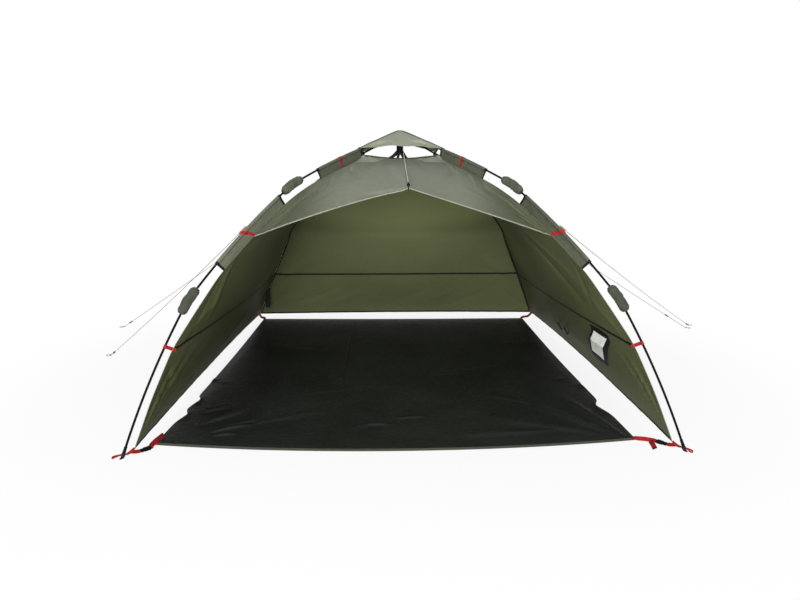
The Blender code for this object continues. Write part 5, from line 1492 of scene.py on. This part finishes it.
def pad_rings(upper, lower):
    """The sleeve's cloth before it is filled, in the leg's frame: rings along the two poles."""
    ends = [(1.0, 0.26), (1.0, 0.36), (0.98, 0.50), (0.94, 0.63), (0.87, 0.75), (0.78, 0.86)]
    profile = [(-along, radius) for along, radius in ends]
    profile += [(-0.70 + 1.40 * k / 20, 0.95 - 0.02 * abs(k - 10) / 10) for k in range(21)]
    rings, where = [], []
    for along, radius in profile + ends[::-1]:
        centre, _, out = on_bend(upper, lower, along)
        if abs(along) < 0.25:
            before, after = (on_bend(upper, lower, s)[2] for s in (-0.25, 0.25))
            out = (before * (0.25 - along) + after * (0.25 + along)).normalized()
        ring = []
        for m in range(PAD_SIDES):
            a = 2 * math.pi * m / PAD_SIDES
            # The seam along the underside is drawn in
            off = a - 1.5 * math.pi
            seam = math.exp(-((off / 0.10) ** 2))
            r = PAD_RADIUS * radius
            r *= 1 - 0.07 * seam * (radius > 0.8)
            ring.append(flat(centre + out * (r * math.sin(a)), r * math.cos(a)))
            rim = (1 - abs(along)) * PAD_LENGTH / 2
            where.append((a * PAD_RADIUS, along * PAD_LENGTH / 2, min(rim + 0.001, abs(off) * PAD_RADIUS + 0.0024)))
        rings.append(ring)
    return rings, where


def fill(made, count):
    """Swell a sleeve with a cloth simulation, held at its seam and its ends. Returns its points."""
    group = made.vertex_groups.new(name="seams")
    held = [k for k in range(count * PAD_SIDES) if abs(k % PAD_SIDES - PAD_SEAM) < 2]
    held += [k for k in range(count * PAD_SIDES) if not 4 <= k // PAD_SIDES < count - 4]
    group.add(held, 1.0, "REPLACE")
    cloth = made.modifiers.new("filling", "CLOTH")
    settings = cloth.settings
    settings.quality = 8
    settings.mass = 0.25
    settings.tension_stiffness = 8
    settings.compression_stiffness = 4
    settings.shear_stiffness = 4
    settings.bending_stiffness = 0.02
    settings.shrink_min = -0.09
    settings.use_pressure = True
    settings.uniform_pressure_force = 4.0
    settings.vertex_group_mass = "seams"
    settings.effector_weights.gravity = 0.0
    cloth.collision_settings.use_collision = False
    scene = bpy.context.scene
    for step in range(1, 19):
        scene.frame_set(step)
    bpy.context.view_layer.update()
    shaped = made.evaluated_get(bpy.context.evaluated_depsgraph_get())
    after = np.array([v.co for v in shaped.data.vertices])
    made.modifiers.clear()
    scene.frame_set(1)
    return after


def pad(label, upper, lower, cloth):
    """A padded sleeve in the leg's frame, whose filling moves no point by more than 2.2 mm."""
    rings, where = pad_rings(upper, lower)
    made = outward(build(f"{label}_master", *skin(rings), [cloth], flat_at=where))
    start = np.array([v.co for v in made.data.vertices])
    push = fill(made, len(rings)) - start
    size = np.linalg.norm(push, axis=1, keepdims=True)
    push = push * np.minimum(1, 0.0022 / np.maximum(size, 1e-9))
    made.data.vertices.foreach_set("co", (start + push).ravel())
    made.data.update()
    return made


def piping(name, leg, number, middle):
    """A dark cord on one end rim of a padded sleeve."""
    centre, ahead, out = (flat(part) for part in middle)
    rings = []
    for a in circle(40):
        radius = PAD_RADIUS * 0.605 * (1 + 0.012 * math.sin(5 * a + number))
        (point,) = on_circle(centre, ASIDE, out, radius, [a])
        rings.append(on_circle(point, (point - centre).normalized(), ahead, 0.0013, circle(8)))
    made = hard(name, [skin(rings, closed=True)], "binding", 60)
    moved(made, leg)
    return made


PADS = (("upper_pad", "top", "mid", "pad"), ("lower_pad", "mid", "low", "low_pad"))
for number, (label, one, two, cloth_key) in enumerate(PADS, 1):
    master = pad(label, one, two, cloth_key)
    for leg_name in LEGS:
        copy = bpy.data.objects.new(f"{label}_{leg_name}.sleeve", master.data.copy())
        bpy.context.scene.collection.objects.link(copy)
        moved(copy, leg_name)
        finer = copy.modifiers.new("fine", "SUBSURF")
        finer.levels = finer.render_levels = 1
        begin, end = (turned(leg_name, on_bend(one, two, s)[0]) for s in (-0.42, 0.42))
        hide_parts(f"{label}_{leg_name}")
        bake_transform(copy)
        for letter, body, along in (("a", one, -0.955), ("b", two, 0.955)):
            made = piping(f"{label}_{leg_name}_piping_{letter}", leg_name, number, on_bend(one, two, along))
            stand(made, f"{body}_{leg_name}", "pad_fabric")
    bpy.data.objects.remove(master, do_unlink=True)


# Webbing


def wall_strap(leg, side, node):
    """Red webbing from a wall's edge, round the low pole."""
    centre, ahead, out = on_pole("low", t_at_height("low", WALL_STRAP_Z))
    v = bisect(lambda v: (Vector(on_ridge(leg, v)) - centre).dot(ahead) < 0)
    drop = (centre - Vector(on_ridge(leg, v))).dot(out) + 0.004
    radius = POLE_RADIUS + GAP + WEBBING / 2 + 0.0002
    low, high = (0.010, 0.0) if leg[0] == "f" else (0.001, 0.006)
    path = [(RIDGE_GAP + 0.0016, -drop - low), (RIDGE_GAP + 0.0010, -drop + high)]
    path += [(RIDGE_GAP + 0.0006, -drop * 0.6), (RIDGE_GAP + 0.0006, -radius - 0.005)]
    path += [(radius * math.cos(a), radius * math.sin(a)) for a in angles(-58, 296, 16)]
    path += [(-RIDGE_GAP * 0.6, -radius - 0.005), (-RIDGE_GAP * 0.6, -drop * 0.75)]
    line = smooth_line([flat(centre + out * y, x * side) for x, y in path], 76)
    made = ribbon(f"wall_strap_{leg}", line, flat(ahead), WEBBING_WIDTH * 0.75, "red")
    moved(made, leg)
    stand(made, f"low_{leg}", "red_webbing", node)


for leg_name, which_side, wall_node in WALLS_BY_LEG:
    wall_strap(leg_name, which_side, wall_node)


def tilted(start, across, turns, count):
    """A width direction for each point of a ribbon: across, turned about the ribbon by each angle in turn."""
    result = []
    for step in steps(count):
        place = step * (len(turns) - 1)
        i = min(int(place), len(turns) - 2)
        t = place - i
        a = math.radians(turns[i] + (turns[i + 1] - turns[i]) * t * t * (3 - 2 * t))
        result.append(Matrix.Rotation(a, 3, start) @ across)
    return result


def facing(leg, degrees):
    """The way in which a strap's broad side turns towards the front."""
    return -degrees if leg[1] == "l" else degrees


def corner_strap(leg, node):
    """Red webbing from the buckle's plug, sewn under a wall's bottom corner."""
    corner = Vector(on_ridge(leg, 1.0))
    begin = Vector((BUCKLE_MOUTH[leg] + GAP + PLUG_BODY[0] - 0.004, 0, BUCKLE_HEIGHT))
    end = Vector((corner.x + 0.016, 0, corner.y - 0.006))
    near = begin + Vector((0.007, 0, 0.0006))
    line = smooth_line([begin, near, near.lerp(end, 0.45) - RISE * 0.0015, end], 30)
    face = facing(leg, 36)
    made = ribbon(f"corner_strap_{leg}", line, tilted(AHEAD, ASIDE, (0, face, face), len(line)), 0.018, "red")
    moved(made, leg)
    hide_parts(node)
    turned(leg, near)
    turned(leg, end)
    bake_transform(made)


for leg_name, _, wall_node in WALLS_BY_LEG:
    corner_strap(leg_name, wall_node)


def box(size, radius, x=0.0, y=0.0, z=0.0):
    """A box with rounded vertical corners and softened top and bottom, as (points, faces)."""
    long, wide, tall = (s / 2 for s in size)
    outline = []
    for sx, sy, start in ((1, 1, 0), (-1, 1, 90), (-1, -1, 180), (1, -1, 270)):
        for a in angles(start, 90, 3):
            outline.append((sx * (long - radius) + radius * math.cos(a), sy * (wide - radius) + radius * math.sin(a)))
    soft = min(radius, tall) * 0.55
    lower = ((soft, -tall), (soft * 0.3, -tall + soft * 0.3), (0, -tall + soft))
    rings = []
    for inset, level in (*lower, *((inset, -level) for inset, level in reversed(lower))):
        k, m = 1 - inset / max(long, wide), 1 - inset / wide
        rings.append([Vector((x + a * k, y + b * m, z + level)) for a, b in outline])
    return skin(rings)


def buckle(leg):
    """A side-release buckle: a socket with side windows and a webbing bar, and a plug with two sprung arms."""
    long, wide, tall = BUCKLE_SOCKET
    rail, floor = 0.0019, 0.0017
    high = tall - 2 * floor + 0.0004
    # Top and bottom plates, with ribs across, then the side rails and the bar for the webbing
    parts = [box((long - 0.001, wide, floor), 0.0022, -long / 2, 0, z * (tall - floor) / 2) for z in (-1, 1)]
    parts += [box((0.0016, wide - 0.007, 0.0006), 0.0006, -long * at, 0, tall / 2 - 0.0001) for at in (0.30, 0.42)]
    for y in (-1, 1):
        for size, x in ((0.0055, -0.0033), (0.0075, -long + 0.0044)):
            parts.append(box((size, rail, high), 0.0008, x, y * (wide - rail) / 2))
    parts.append(box((0.0032, wide - 0.001, high), 0.0009, -long + 0.0020))
    socket = hard(f"buckle_socket_{leg}.shell", parts, "plastic")
    long, wide, tall = PLUG_BODY
    reach = PLUG_TONGUE_LENGTH
    parts = [box(PLUG_BODY, 0.0022, GAP + long / 2)]
    parts += [box((0.0012, wide - 0.006, 0.0005), 0.0005, GAP + long * at, 0, tall / 2) for at in (0.35, 0.60)]
    parts.append(box((reach * 0.8 + 0.002, 0.0042, 0.0034), 0.0010, -reach * 0.4 + 0.001))
    section = ((-1, -0.7), (-0.7, -1), (0.7, -1), (1, -0.7), (1, 0.7), (0.7, 1), (-0.7, 1), (-1, 0.7))
    bow = [(0.002, 0.0078), (-0.005, 0.0085), (-0.010, 0.0094), (-reach + 0.002, 0.0088), (-reach + 0.0004, 0.0068)]
    for y in (-1, 1):
        rings = []
        for k, point in enumerate(smooth_line([Vector((along, y * off, 0)) for along, off in bow], 16)):
            grown = 0.0011 * (1.0 + 0.5 * bell(k - 11, 2.5))
            rings.append([point + Vector((0, a * grown, b * 0.0019)) for a, b in section])
        parts.append(skin(rings))
    plug = hard(f"buckle_plug_{leg}.arms", parts, "plastic")
    for made in (socket, plug):
        made.data.transform(Matrix.Translation((BUCKLE_MOUTH[leg], 0, BUCKLE_HEIGHT)))
        moved(made, leg)
    stand(socket, "root", "black_plastic", f"buckle_socket_{leg}")
    stand(plug, f"plug_{leg}", "black_plastic", f"buckle_plug_{leg}")


for leg_name in LEGS:
    buckle(leg_name)


def inside_foot(leg, inset):
    foot = turned(leg, FOOT)
    return Vector((foot.x - math.copysign(inset[0], foot.x), foot.y - math.copysign(inset[1], foot.y), 0))


def sheet_straps(leg):
    """Red webbing sewn to the groundsheet's corner, through the buckle's bar, with its loose tail."""
    corner = inside_foot(leg, SHEET_INSET[leg])
    ahead, across = turned(leg, AHEAD), turned(leg, ASIDE)
    end = ahead * (BUCKLE_MOUTH[leg] - BUCKLE_SOCKET[0] + 0.003) + RISE * BUCKLE_HEIGHT
    edge = corner + RISE * 0.0085
    path = [corner - corner.normalized() * 0.018 + RISE * 0.0060, edge, edge.lerp(end, 0.4) + RISE * 0.0020]
    line = smooth_line(path + [edge.lerp(end, 0.75) + RISE * 0.0014, end - ahead * 0.007, end], 40)
    face = facing(leg, 44)
    turns = tilted(ahead, across, (face * 0.25, face, face, face * 0.6, 0), len(line))
    stand(ribbon(f"sheet_strap_{leg}", line, turns, 0.019, "red"), "root", "red_webbing", "groundsheet")
    if leg in TAIL_INSET:
        tail = inside_foot(leg, TAIL_INSET[leg]) + RISE * 0.0105
        root = inside_foot(leg, TAIL_ROOT[leg]) + RISE * 0.0110
        run = (tail - root).normalized()
        side = Matrix.Rotation(math.radians(50 if leg == "fl" else 30), 3, run) @ Vector((-run.y, run.x, 0))
        wave = [root, root.lerp(tail, 0.35) + RISE * 0.0025, root.lerp(tail, 0.7) + RISE * 0.0015, tail]
        made = ribbon(f"sheet_strap_tail_{leg}", smooth_line(wave, 26), side, WEBBING_WIDTH, "red")
        stand(made, "root", "red_webbing", "groundsheet")
        # The tail's end is folded under and melted dark
        fold = [tail - run * 0.0032, tail + run * 0.0030]
        tip = ribbon(f"sheet_strap_tip_{leg}", fold, side, WEBBING_WIDTH * 0.94, "black", thickness=0.0021)
        stand(tip, "root", "black_webbing", "groundsheet")


for leg_name in LEGS:
    sheet_straps(leg_name)


def foot_webbing(leg):
    """A band round the foot tip, a strap to the canopy's corner and a peg loop."""
    middle, ahead, _ = on_pole("low", 1 - share("low", FOOT_BAND_HEIGHT))
    inner = FOOT_TIP_RADIUS + GAP
    turn = on_circle(flat(middle), ASIDE, ASIDE.cross(flat(ahead)), inner + WEBBING / 2 + 0.0002, angles(0, 360, 32))
    band = ribbon(f"foot_band_{leg}", turn, flat(ahead), 0.010, "black", thickness=WEBBING * 0.8)
    begin = middle - Vector(((inner + WEBBING) / abs(ahead.y), 0.002))
    end = Vector(on_ridge(leg, 1.0)) + Vector((0, 0.004))
    path = [flat(begin, 0.002), flat(begin.lerp(end, 0.5) - Vector((0, 0.004)), -0.001), flat(end, -0.0005)]
    face = facing(leg, 40)
    across = tilted(AHEAD, ASIDE, (0, face, face * 0.5), 24)
    strap = ribbon(f"foot_strap_{leg}.strap", smooth_line(path, 24), across, WEBBING_WIDTH * 0.62, "red")
    turn = math.radians(PEG_LOOP_TURN[leg])
    out = Vector((math.cos(turn), math.sin(turn), 0))
    across = Vector((-out.y, out.x, 0))
    base = flat(middle) + out * (inner + 0.0006) / abs(ahead.y)
    radius, level = WEBBING_WIDTH * 0.45, 0.005
    path = [base + across * 0.0018, base + across * 0.0022 + out * level]
    path += on_circle(base + out * (PEG_LOOP_LENGTH[leg] - radius), out, -across, radius, angles(-80, 160, 8))
    path += [base - across * 0.0022 + out * level, base - across * 0.0018]
    drop = base.z - PEG_LOOP_WIDTH / 2 - 0.0008
    lean = Matrix.Rotation(math.radians(PEG_LOOP_LEAN[leg]), 3, out)
    low = [p - RISE * (drop * min(1.0, max(0.0, (p - base).length - 1.1 * level) / 0.03)) for p in path]
    loop = ribbon(f"peg_loop_{leg}", smooth_line(low, 60), lean @ RISE, PEG_LOOP_WIDTH, "red")
    for made, slot in ((band, "black_webbing"), (strap, "red_webbing"), (loop, "red_webbing")):
        for vertex in made.data.vertices:
            vertex.co.z = max(vertex.co.z, 0.0003)  # nothing sinks into the ground
        moved(made, leg)
        stand(made, f"low_{leg}", slot, f"foot_strap_{leg}")


for leg_name in LEGS:
    foot_webbing(leg_name)


def vent_straps():
    """Two black webbing straps that cross under the hub and are sewn to the vent rim, front and rear."""
    for number, (x, width) in enumerate(VENT_STRAPS):
        u = 0.5 + x / (2 * awning_panel.half[0])
        level = HUB_BOTTOM - WEBBING / 2 - GAP - number * 0.0014
        away = Vector((x, awning_panel.base[0, 0, 1], 0)).normalized() * (HUB_CORE_RADIUS + 0.002)
        low_front, rim_front = (point_on(awning_panel, u, *at)[0] for at in ((0.022, 0.0022), (0.004, 0.0026)))
        low_rear, rim_rear = (point_on(rear_panel, u, *at)[0] for at in ((0.008, 0.0022), (0.001, 0.0026)))
        one, two = away + RISE * level, RISE * level - away
        sag = RISE * -0.004
        path = [low_front, rim_front, rim_front.lerp(one, 0.5) + sag, one, (one + two) / 2, two]
        path += [rim_rear.lerp(two, 0.5) + sag, rim_rear, low_rear]
        across = Vector((-away.y, away.x, 0)).normalized()
        made = ribbon(f"vent_strap_{number}", smooth_line(path, 80), across, width, "black")
        stand(made, "root", "black_webbing", "vent_straps")
        gather(made)


vent_straps()


def tie_back():
    """The black strip that ties the rear left corner back."""
    top, low = 0.303, 0.129
    point = Vector(ridge_place("rl", v_at_height("rl", top), 1))
    inward = -Vector((point.x, point.y, 0)).normalized()
    point += inward * 0.014 + Vector((-0.026, -0.060, 0))
    line = [Vector((point.x + 0.0018 * math.sin(math.pi * t), point.y, top + (low - top) * t)) for t in steps(24)]
    side = Vector((1.0, -0.12, 0)).normalized()
    made = ribbon("tie_back", line, side, 0.032, "black", thickness=0.0030, crown=0.6)
    stand(made, "root", "black_webbing", "rear_wall")
    gather(made)


def toggle(number, u, row):
    """A small black toggle on the inside of the right wall."""
    cuts = right_panel.cuts
    axis = next(axis for axis, a, b in zip(right_axes, cuts, cuts[1:]) if a <= u <= b)
    top, up = point_on(right_panel, u, row, -0.0040)
    top, low = top - up * 0.006, top + Vector((0.026, -0.004, -0.046)) - up * 0.004
    line = smooth_line([top, top.lerp(low, 0.5) - up * 0.001, low], 16)
    made = ribbon(f"toggle_{number}", line, Vector((0.9, -0.3, 0.1)), 0.010, "black", thickness=0.0036, crown=0.3)
    stand(made, "root", "black_webbing", "right_wall")
    gather(made)


tie_back()
toggle(0, 0.545, 0.910)
toggle(1, 0.507, 0.917)


# Groundsheet

# Start, end, width and height of its creases, most of them near the front
SHEET_FOLDS = [
    ((-0.992, -0.737), (-0.847, -0.660), 0.011, 0.009),
    ((-0.979, -0.674), (-0.875, -0.629), 0.009, 0.007),
    ((-0.946, -0.871), (-0.739, -0.698), 0.013, 0.012),
    ((-0.922, -0.820), (-0.774, -0.714), 0.009, 0.008),
    ((-0.874, -0.942), (-0.696, -0.857), 0.012, 0.011),
    ((-0.831, -0.879), (-0.667, -0.806), 0.01, 0.007),
    ((-0.850, -0.975), (-0.740, -0.950), 0.01, 0.008),
    ((-0.701, -0.857), (-0.359, -0.714), 0.022, 0.007),
    ((-0.196, -0.886), (-0.064, -0.874), 0.01, 0.009),
    ((-0.059, -0.827), (0.112, -0.794), 0.01, 0.009),
    ((-0.249, -0.910), (-0.151, -0.882), 0.012, 0.005),
    ((0.957, -1.028), (0.805, -0.533), 0.02, 0.01),
    ((0.935, -1.018), (0.632, -0.669), 0.024, 0.01),
    ((0.878, -1.007), (0.358, -0.800), 0.028, 0.0085),
    ((0.678, -0.682), (0.356, -0.507), 0.024, 0.006),
    ((0.691, -0.954), (0.149, -0.997), 0.024, 0.006),
    ((-0.533, -0.524), (-0.119, -0.396), 0.02, 0.006),
    ((0.108, -0.250), (0.591, -0.146), 0.02, 0.006),
    ((-0.924, 0.345), (-0.449, 0.183), 0.02, 0.006),
    ((0.569, 0.421), (0.882, 0.275), 0.02, 0.006),
]
# Side, and the place and size of the scallops in which that edge curls up
SHEET_CURLS = [(0, -0.760, 0.050), (0, -0.590, 0.050), (0, -0.30, 0.022), (1, -0.710, 0.060), (1, -0.430, 0.030)]


def stepped(*spans):
    """Grid values from span to span, each given as its start, its end and its count of values."""
    return np.unique(np.concatenate([np.linspace(*span) for span in spans]))


def groundsheet():
    """The groundsheet: coated cloth that lies in crinkles, with a hem on all sides and a band along the front."""
    # Finer towards the front, where the crinkles are
    fine_u = stepped((0, 0.36, 140), (0.36, 0.97, 76), (0.97, 1, 13))
    fine_v = stepped((0, 0.012, 5), (0.012, 0.30, 120), (0.30, 0.985, 84), (0.985, 1, 5))
    u, v = np.meshgrid(fine_u, fine_v, indexing="ij")
    corner = {leg: np.array(inside_foot(leg, SHEET_INSET[leg])) for leg in LEGS}
    front = corner["fl"] + (corner["fr"] - corner["fl"]) * u[..., None]
    front[..., 1] -= SHEET_FRONT_BOW * hump(u)
    back = corner["rl"] + (corner["rr"] - corner["rl"]) * u[..., None]
    place = front + (back - front) * v[..., None]
    draw = np.maximum(hump(u) * np.abs(2 * v - 1) ** 6, hump(v) * np.abs(2 * u - 1) ** 6)
    long = np.linalg.norm(place, axis=-1, keepdims=True)
    place = place - place / np.maximum(long, 1e-6) * (SHEET_EDGE_DRAW * draw)[..., None]
    x, y = place[..., 0], place[..., 1]
    edge = np.minimum(np.minimum(u, 1 - u), np.minimum(v, 1 - v)) * SHEET_SIZE
    inside = np.clip(edge / 0.05, 0, 1)
    high = 0.0016 + 0.0026 * (0.5 + 0.5 * swell(x, y, 77, 0.42)) * inside
    high += 0.0012 * (0.5 + 0.5 * swell(x, y, 78, 0.16)) * inside
    for fold in SHEET_FOLDS:
        high += crease(x, y, *fold)
    # Fold lines from storage
    for at in (-1 / 3, 1 / 3):
        high += 0.0022 * (bell(x - at, 0.006) + bell(y - at, 0.006)) * inside
    for side, at, size in SHEET_CURLS:
        curl = bell(y - at, size) * bell((u - side) * SHEET_SIZE, 0.030)
        high += 0.0100 * curl
        x += (1 - 2 * side) * (0.9 * size - 0.016) * curl
    high += 0.0007 * np.clip(1 - np.abs(edge - 0.006) / 0.010, 0, 1)
    place[..., 2] = np.minimum(high, 0.0105 + 0.0105 * np.clip(edge / 0.12 - 0.6, 0, 1))
    low = place.copy()
    low[..., 2] = np.maximum(0.0002, place[..., 2] - 0.0014)
    points = np.concatenate([place.reshape(-1, 3), low.reshape(-1, 3)])
    where = np.concatenate([np.stack([x, y, edge], axis=-1).reshape(-1, 3)] * 2)
    index = np.arange(u.size).reshape(u.shape)
    corners = [index[:-1, :-1], index[1:, :-1], index[1:, 1:], index[:-1, 1:]]
    top = np.stack([c.ravel() for c in corners], axis=1)
    ring = np.concatenate([index[:-1, 0], index[-1, :-1], index[:0:-1, -1], index[0, :0:-1]])
    after = np.roll(ring, -1)
    rim = np.stack([after, ring, ring + u.size, after + u.size], axis=1)
    faces = np.concatenate([top, top[:, [0, 3, 2, 1]] + u.size, rim])
    slots = np.zeros(len(faces), int)
    slots[: len(top)] = (v[:-1, :-1] + v[1:, 1:]).ravel() * 1.03 < 0.016
    made = build("groundsheet.cloth", points.tolist(), faces.tolist(), ["sheet", "hem"], slots.tolist(), where)
    sharpen(made, 50)
    stand(made, "root", "groundsheet", "groundsheet")


groundsheet()


# Poles and their fittings


def socket(member, t, direction):
    """A ribbed ferrule from t along the pole, with the place and direction of its start."""
    start, ahead, _ = on_pole(member, t)
    r, e = SOCKET_RADIUS, SOCKET_LENGTH
    profile = [(0, 0.0), (r * 0.86, 0.0), (r, 0.0012), (r, e * 0.30)]
    for k in range(4):
        at = e * (0.34 + 0.13 * k)
        profile += [(r, at), (r * 0.93, at + 0.0006), (r * 0.93, at + 0.0018), (r, at + 0.0024)]
    profile += [(r, e * 0.92), (r * 0.84, e), (POLE_RADIUS * 1.02, e), (POLE_RADIUS * 0.98, e * 0.9), (0, e * 0.9)]
    return lathe(flat(start), flat(ahead) * direction, profile, 24, ASIDE), start, ahead * direction


def plate(start, axis, pivot, radius, low, high):
    """A flat cheek from a ferrule, rounded about its pivot, between two places across the leg."""
    side = Vector((-axis.y, axis.x)) * (SOCKET_RADIUS * 0.8)
    root = start + axis * POLE_INSET
    toward = (pivot - root).normalized()
    along = math.degrees(math.atan2(toward.y, toward.x))
    ends = [root - side, root + side] if toward.cross(side) < 0 else [root + side, root - side]
    outline = [pivot + Vector((math.cos(a), math.sin(a))) * radius for a in angles(along - 100, 200, 16)] + ends
    middle = sum(outline, Vector((0, 0))) / len(outline)
    levels = ((0.0006, low), (0.0, low + 0.0006), (0.0, high - 0.0006), (0.0006, high))
    return skin([[flat(p + (middle - p).normalized() * inset, y) for p in outline] for inset, y in levels])


def pin(pivot, half, radius):
    head = [(0, half), (radius * 1.5, half), (radius * 1.7, half - 0.0005), (radius * 1.7, half - 0.0012)]
    head.append((radius, half - 0.0014))
    return lathe(flat(pivot), ASIDE, [(r, -along) for r, along in head] + head[::-1], 16)


def foot_tip(leg):
    start, ahead, _ = on_pole("low", 1 - share("low", FOOT_TIP_LENGTH - FOOT_TIP_OVERRUN))
    r = FOOT_TIP_RADIUS
    profile = [(0, 0), (0.0056, 0), (0.0061, 0.001), (0.0061, 0.016), (0.0070, 0.0215), (r, 0.024)]
    for at in (0.036, 0.0395, 0.043):
        profile += [(r, at), (0.0060, at + 0.0006), (0.0060, at + 0.0016), (r, at + 0.0022)]
    profile += [(r, FOOT_TIP_LENGTH), (0, FOOT_TIP_LENGTH)]
    points, faces = lathe(flat(start), flat(ahead), profile, 24, ASIDE)
    points = [Vector((p.x, p.y, max(p.z, 0.0002))) for p in points]
    tip = hard(f"low_pole_{leg}.foot", [(points, faces)], "rubber")
    moved(tip, leg)
    stand(tip, f"low_{leg}", "black_plastic", f"low_pole_{leg}")


def pole(member, leg):
    """One rod with its bonded end fittings, ribbed where a hand holds them."""
    body, node = f"{member}_{leg}", f"{member}_pole_{leg}"
    reach = HUB_EYE_REACH if member == "top" else KNUCKLE_REACH
    far_reach = FOOT_TIP_LENGTH - FOOT_TIP_OVERRUN - 2 * POLE_INSET if member == "low" else KNUCKLE_REACH
    first, last = share(member, reach + POLE_INSET), 1 - share(member, far_reach + POLE_INSET)
    line = [flat(bowed(member, first + (last - first) * t)) for t in steps(37)]
    rod = tube(f"{node}.rod", line, POLE_RADIUS, "rod", sides=16, side=ASIDE)
    moved(rod, leg)
    stand(rod, body, "fibreglass", node)
    ferrule, start, axis = socket(member, share(member, reach), 1)
    eye = (0.0090, -0.0050, 0.0050) if member == "top" else (0.0060, -0.0040, 0.0040)
    parts = [ferrule, plate(start, axis, PIVOTS[member], *eye)]
    if member == "low":
        foot_tip(leg)
    else:
        after = PIVOTS["mid" if member == "top" else "low"]
        ferrule, start, axis = socket(member, 1 - share(member, KNUCKLE_REACH), -1)
        fork = [plate(start, axis, after, 0.0060, *at) for at in ((0.0043, 0.0079), (-0.0079, -0.0043))]
        parts += [ferrule, *fork, pin(after, 0.0078, 0.0024)]
    made = hard(f"{node}.fittings", parts, "plastic")
    moved(made, leg)
    stand(made, body, "black_plastic", node)


for leg_name in LEGS:
    for member_name in MEMBERS:
        pole(member_name, leg_name)


def hub():
    """The CAD hub keeps its shape, with moulded plastic, four screws, a boss and the wire ring's steel."""
    for node, material in (("hub_body", "plastic"), ("hub_ring", "steel")):
        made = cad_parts[node]
        made.data.materials.clear()
        made.data.materials.append(MATERIALS[material])
    dome = [(0, 0), (0.0190, 0), (0.0185, 0.0020), (0.0160, 0.0042), (0.0090, 0.0054), (0, 0.0058)]
    boss = hard("hub_boss", [lathe(RISE * (HUB_TOP - 0.0004), RISE, dome, 32)], "plastic", 35)
    stand(boss, "root", "black_plastic")
    head = [(0, 0), (0.0036, 0), (0.0036, 0.0012), (0.0030, 0.0021), (0.0016, 0.0023), (0.0013, 0.0012), (0, 0.0012)]
    places = on_circle(RISE * (HUB_TOP - 0.0002), AHEAD, ASIDE, 0.040, circle(4))
    screws = hard("hub_screws", [lathe(place, RISE, head, 18) for place in places], "steel", 35)
    stand(screws, "root", "steel")


hub()


# Floor, world and light


def pure_white(n, shader, white, output, part=None):
    """Show white to camera, glossy and transmission rays, and shader to all others."""
    path = n.tree.nodes.new("ShaderNodeLightPath")
    seen = Value(n, path.outputs["Is Camera Ray"])
    for ray in ("Is Transmission Ray", "Is Glossy Ray"):
        seen = n.math("MAXIMUM", seen, Value(n, path.outputs[ray]))
    if part:
        seen = seen * part
    mixed = n.add("MixShader", {0: seen, 1: Value(n, shader.outputs[0]), 2: white})
    n.set(n.tree.nodes[output].inputs["Surface"], mixed)


def floor():
    size, level = 14.0, -0.0012
    corners = [(x * size, y * size, level) for x, y in ((-1, -1), (1, -1), (1, 1), (-1, 1))]
    made = build("floor", corners, [(0, 1, 2, 3)], [], smooth=False)
    n = Nodes("studio_floor")
    for key, value in (("Base Color", (0.86, 0.86, 0.86)), ("Roughness", 0.9), ("Specular IOR Level", 0.0)):
        n.set(n.shader.inputs[key], value)
    away = n.add("VectorMath", {0: n.add("TexCoord", out=3)}, out=1, operation="LENGTH")
    white = n.add("Emission", {"Color": (1, 1, 1), "Strength": 1.0})
    pure_white(n, n.shader, white, "Material Output", n.remap(away, 1.0, 2.6, 0.84, 1.0))
    made.data.materials.append(n.material)


floor()


def lights():
    bpy.context.scene.world = bpy.data.worlds.new("studio")
    n = Nodes("studio", bpy.context.scene.world)
    soft = n.tree.nodes["Background"]
    n.set(soft.inputs["Color"], (1, 1, 1))
    n.set(soft.inputs["Strength"], 0.34)
    pure_white(n, soft, n.add("Background", {"Color": (1, 1, 1), "Strength": 1.0}), "World Output")
    for name, place, aim, size, power in (
        ("front", (-0.5, -5.4, 1.3), (0.0, 0.0, 0.6), 2.0, 330.0),
        ("top", (-0.8, -2.4, 4.8), (0.0, 0.0, 0.8), 3.0, 38.0),
    ):
        data = bpy.data.lights.new(name, "AREA")
        data.size = size
        data.energy = power
        made = bpy.data.objects.new(name, data)
        made.location = place
        made.rotation_euler = (Vector(aim) - Vector(place)).to_track_quat("-Z", "Y").to_euler()
        bpy.context.scene.collection.objects.link(made)


lights()
bpy.context.scene.view_settings.view_transform = "Standard"
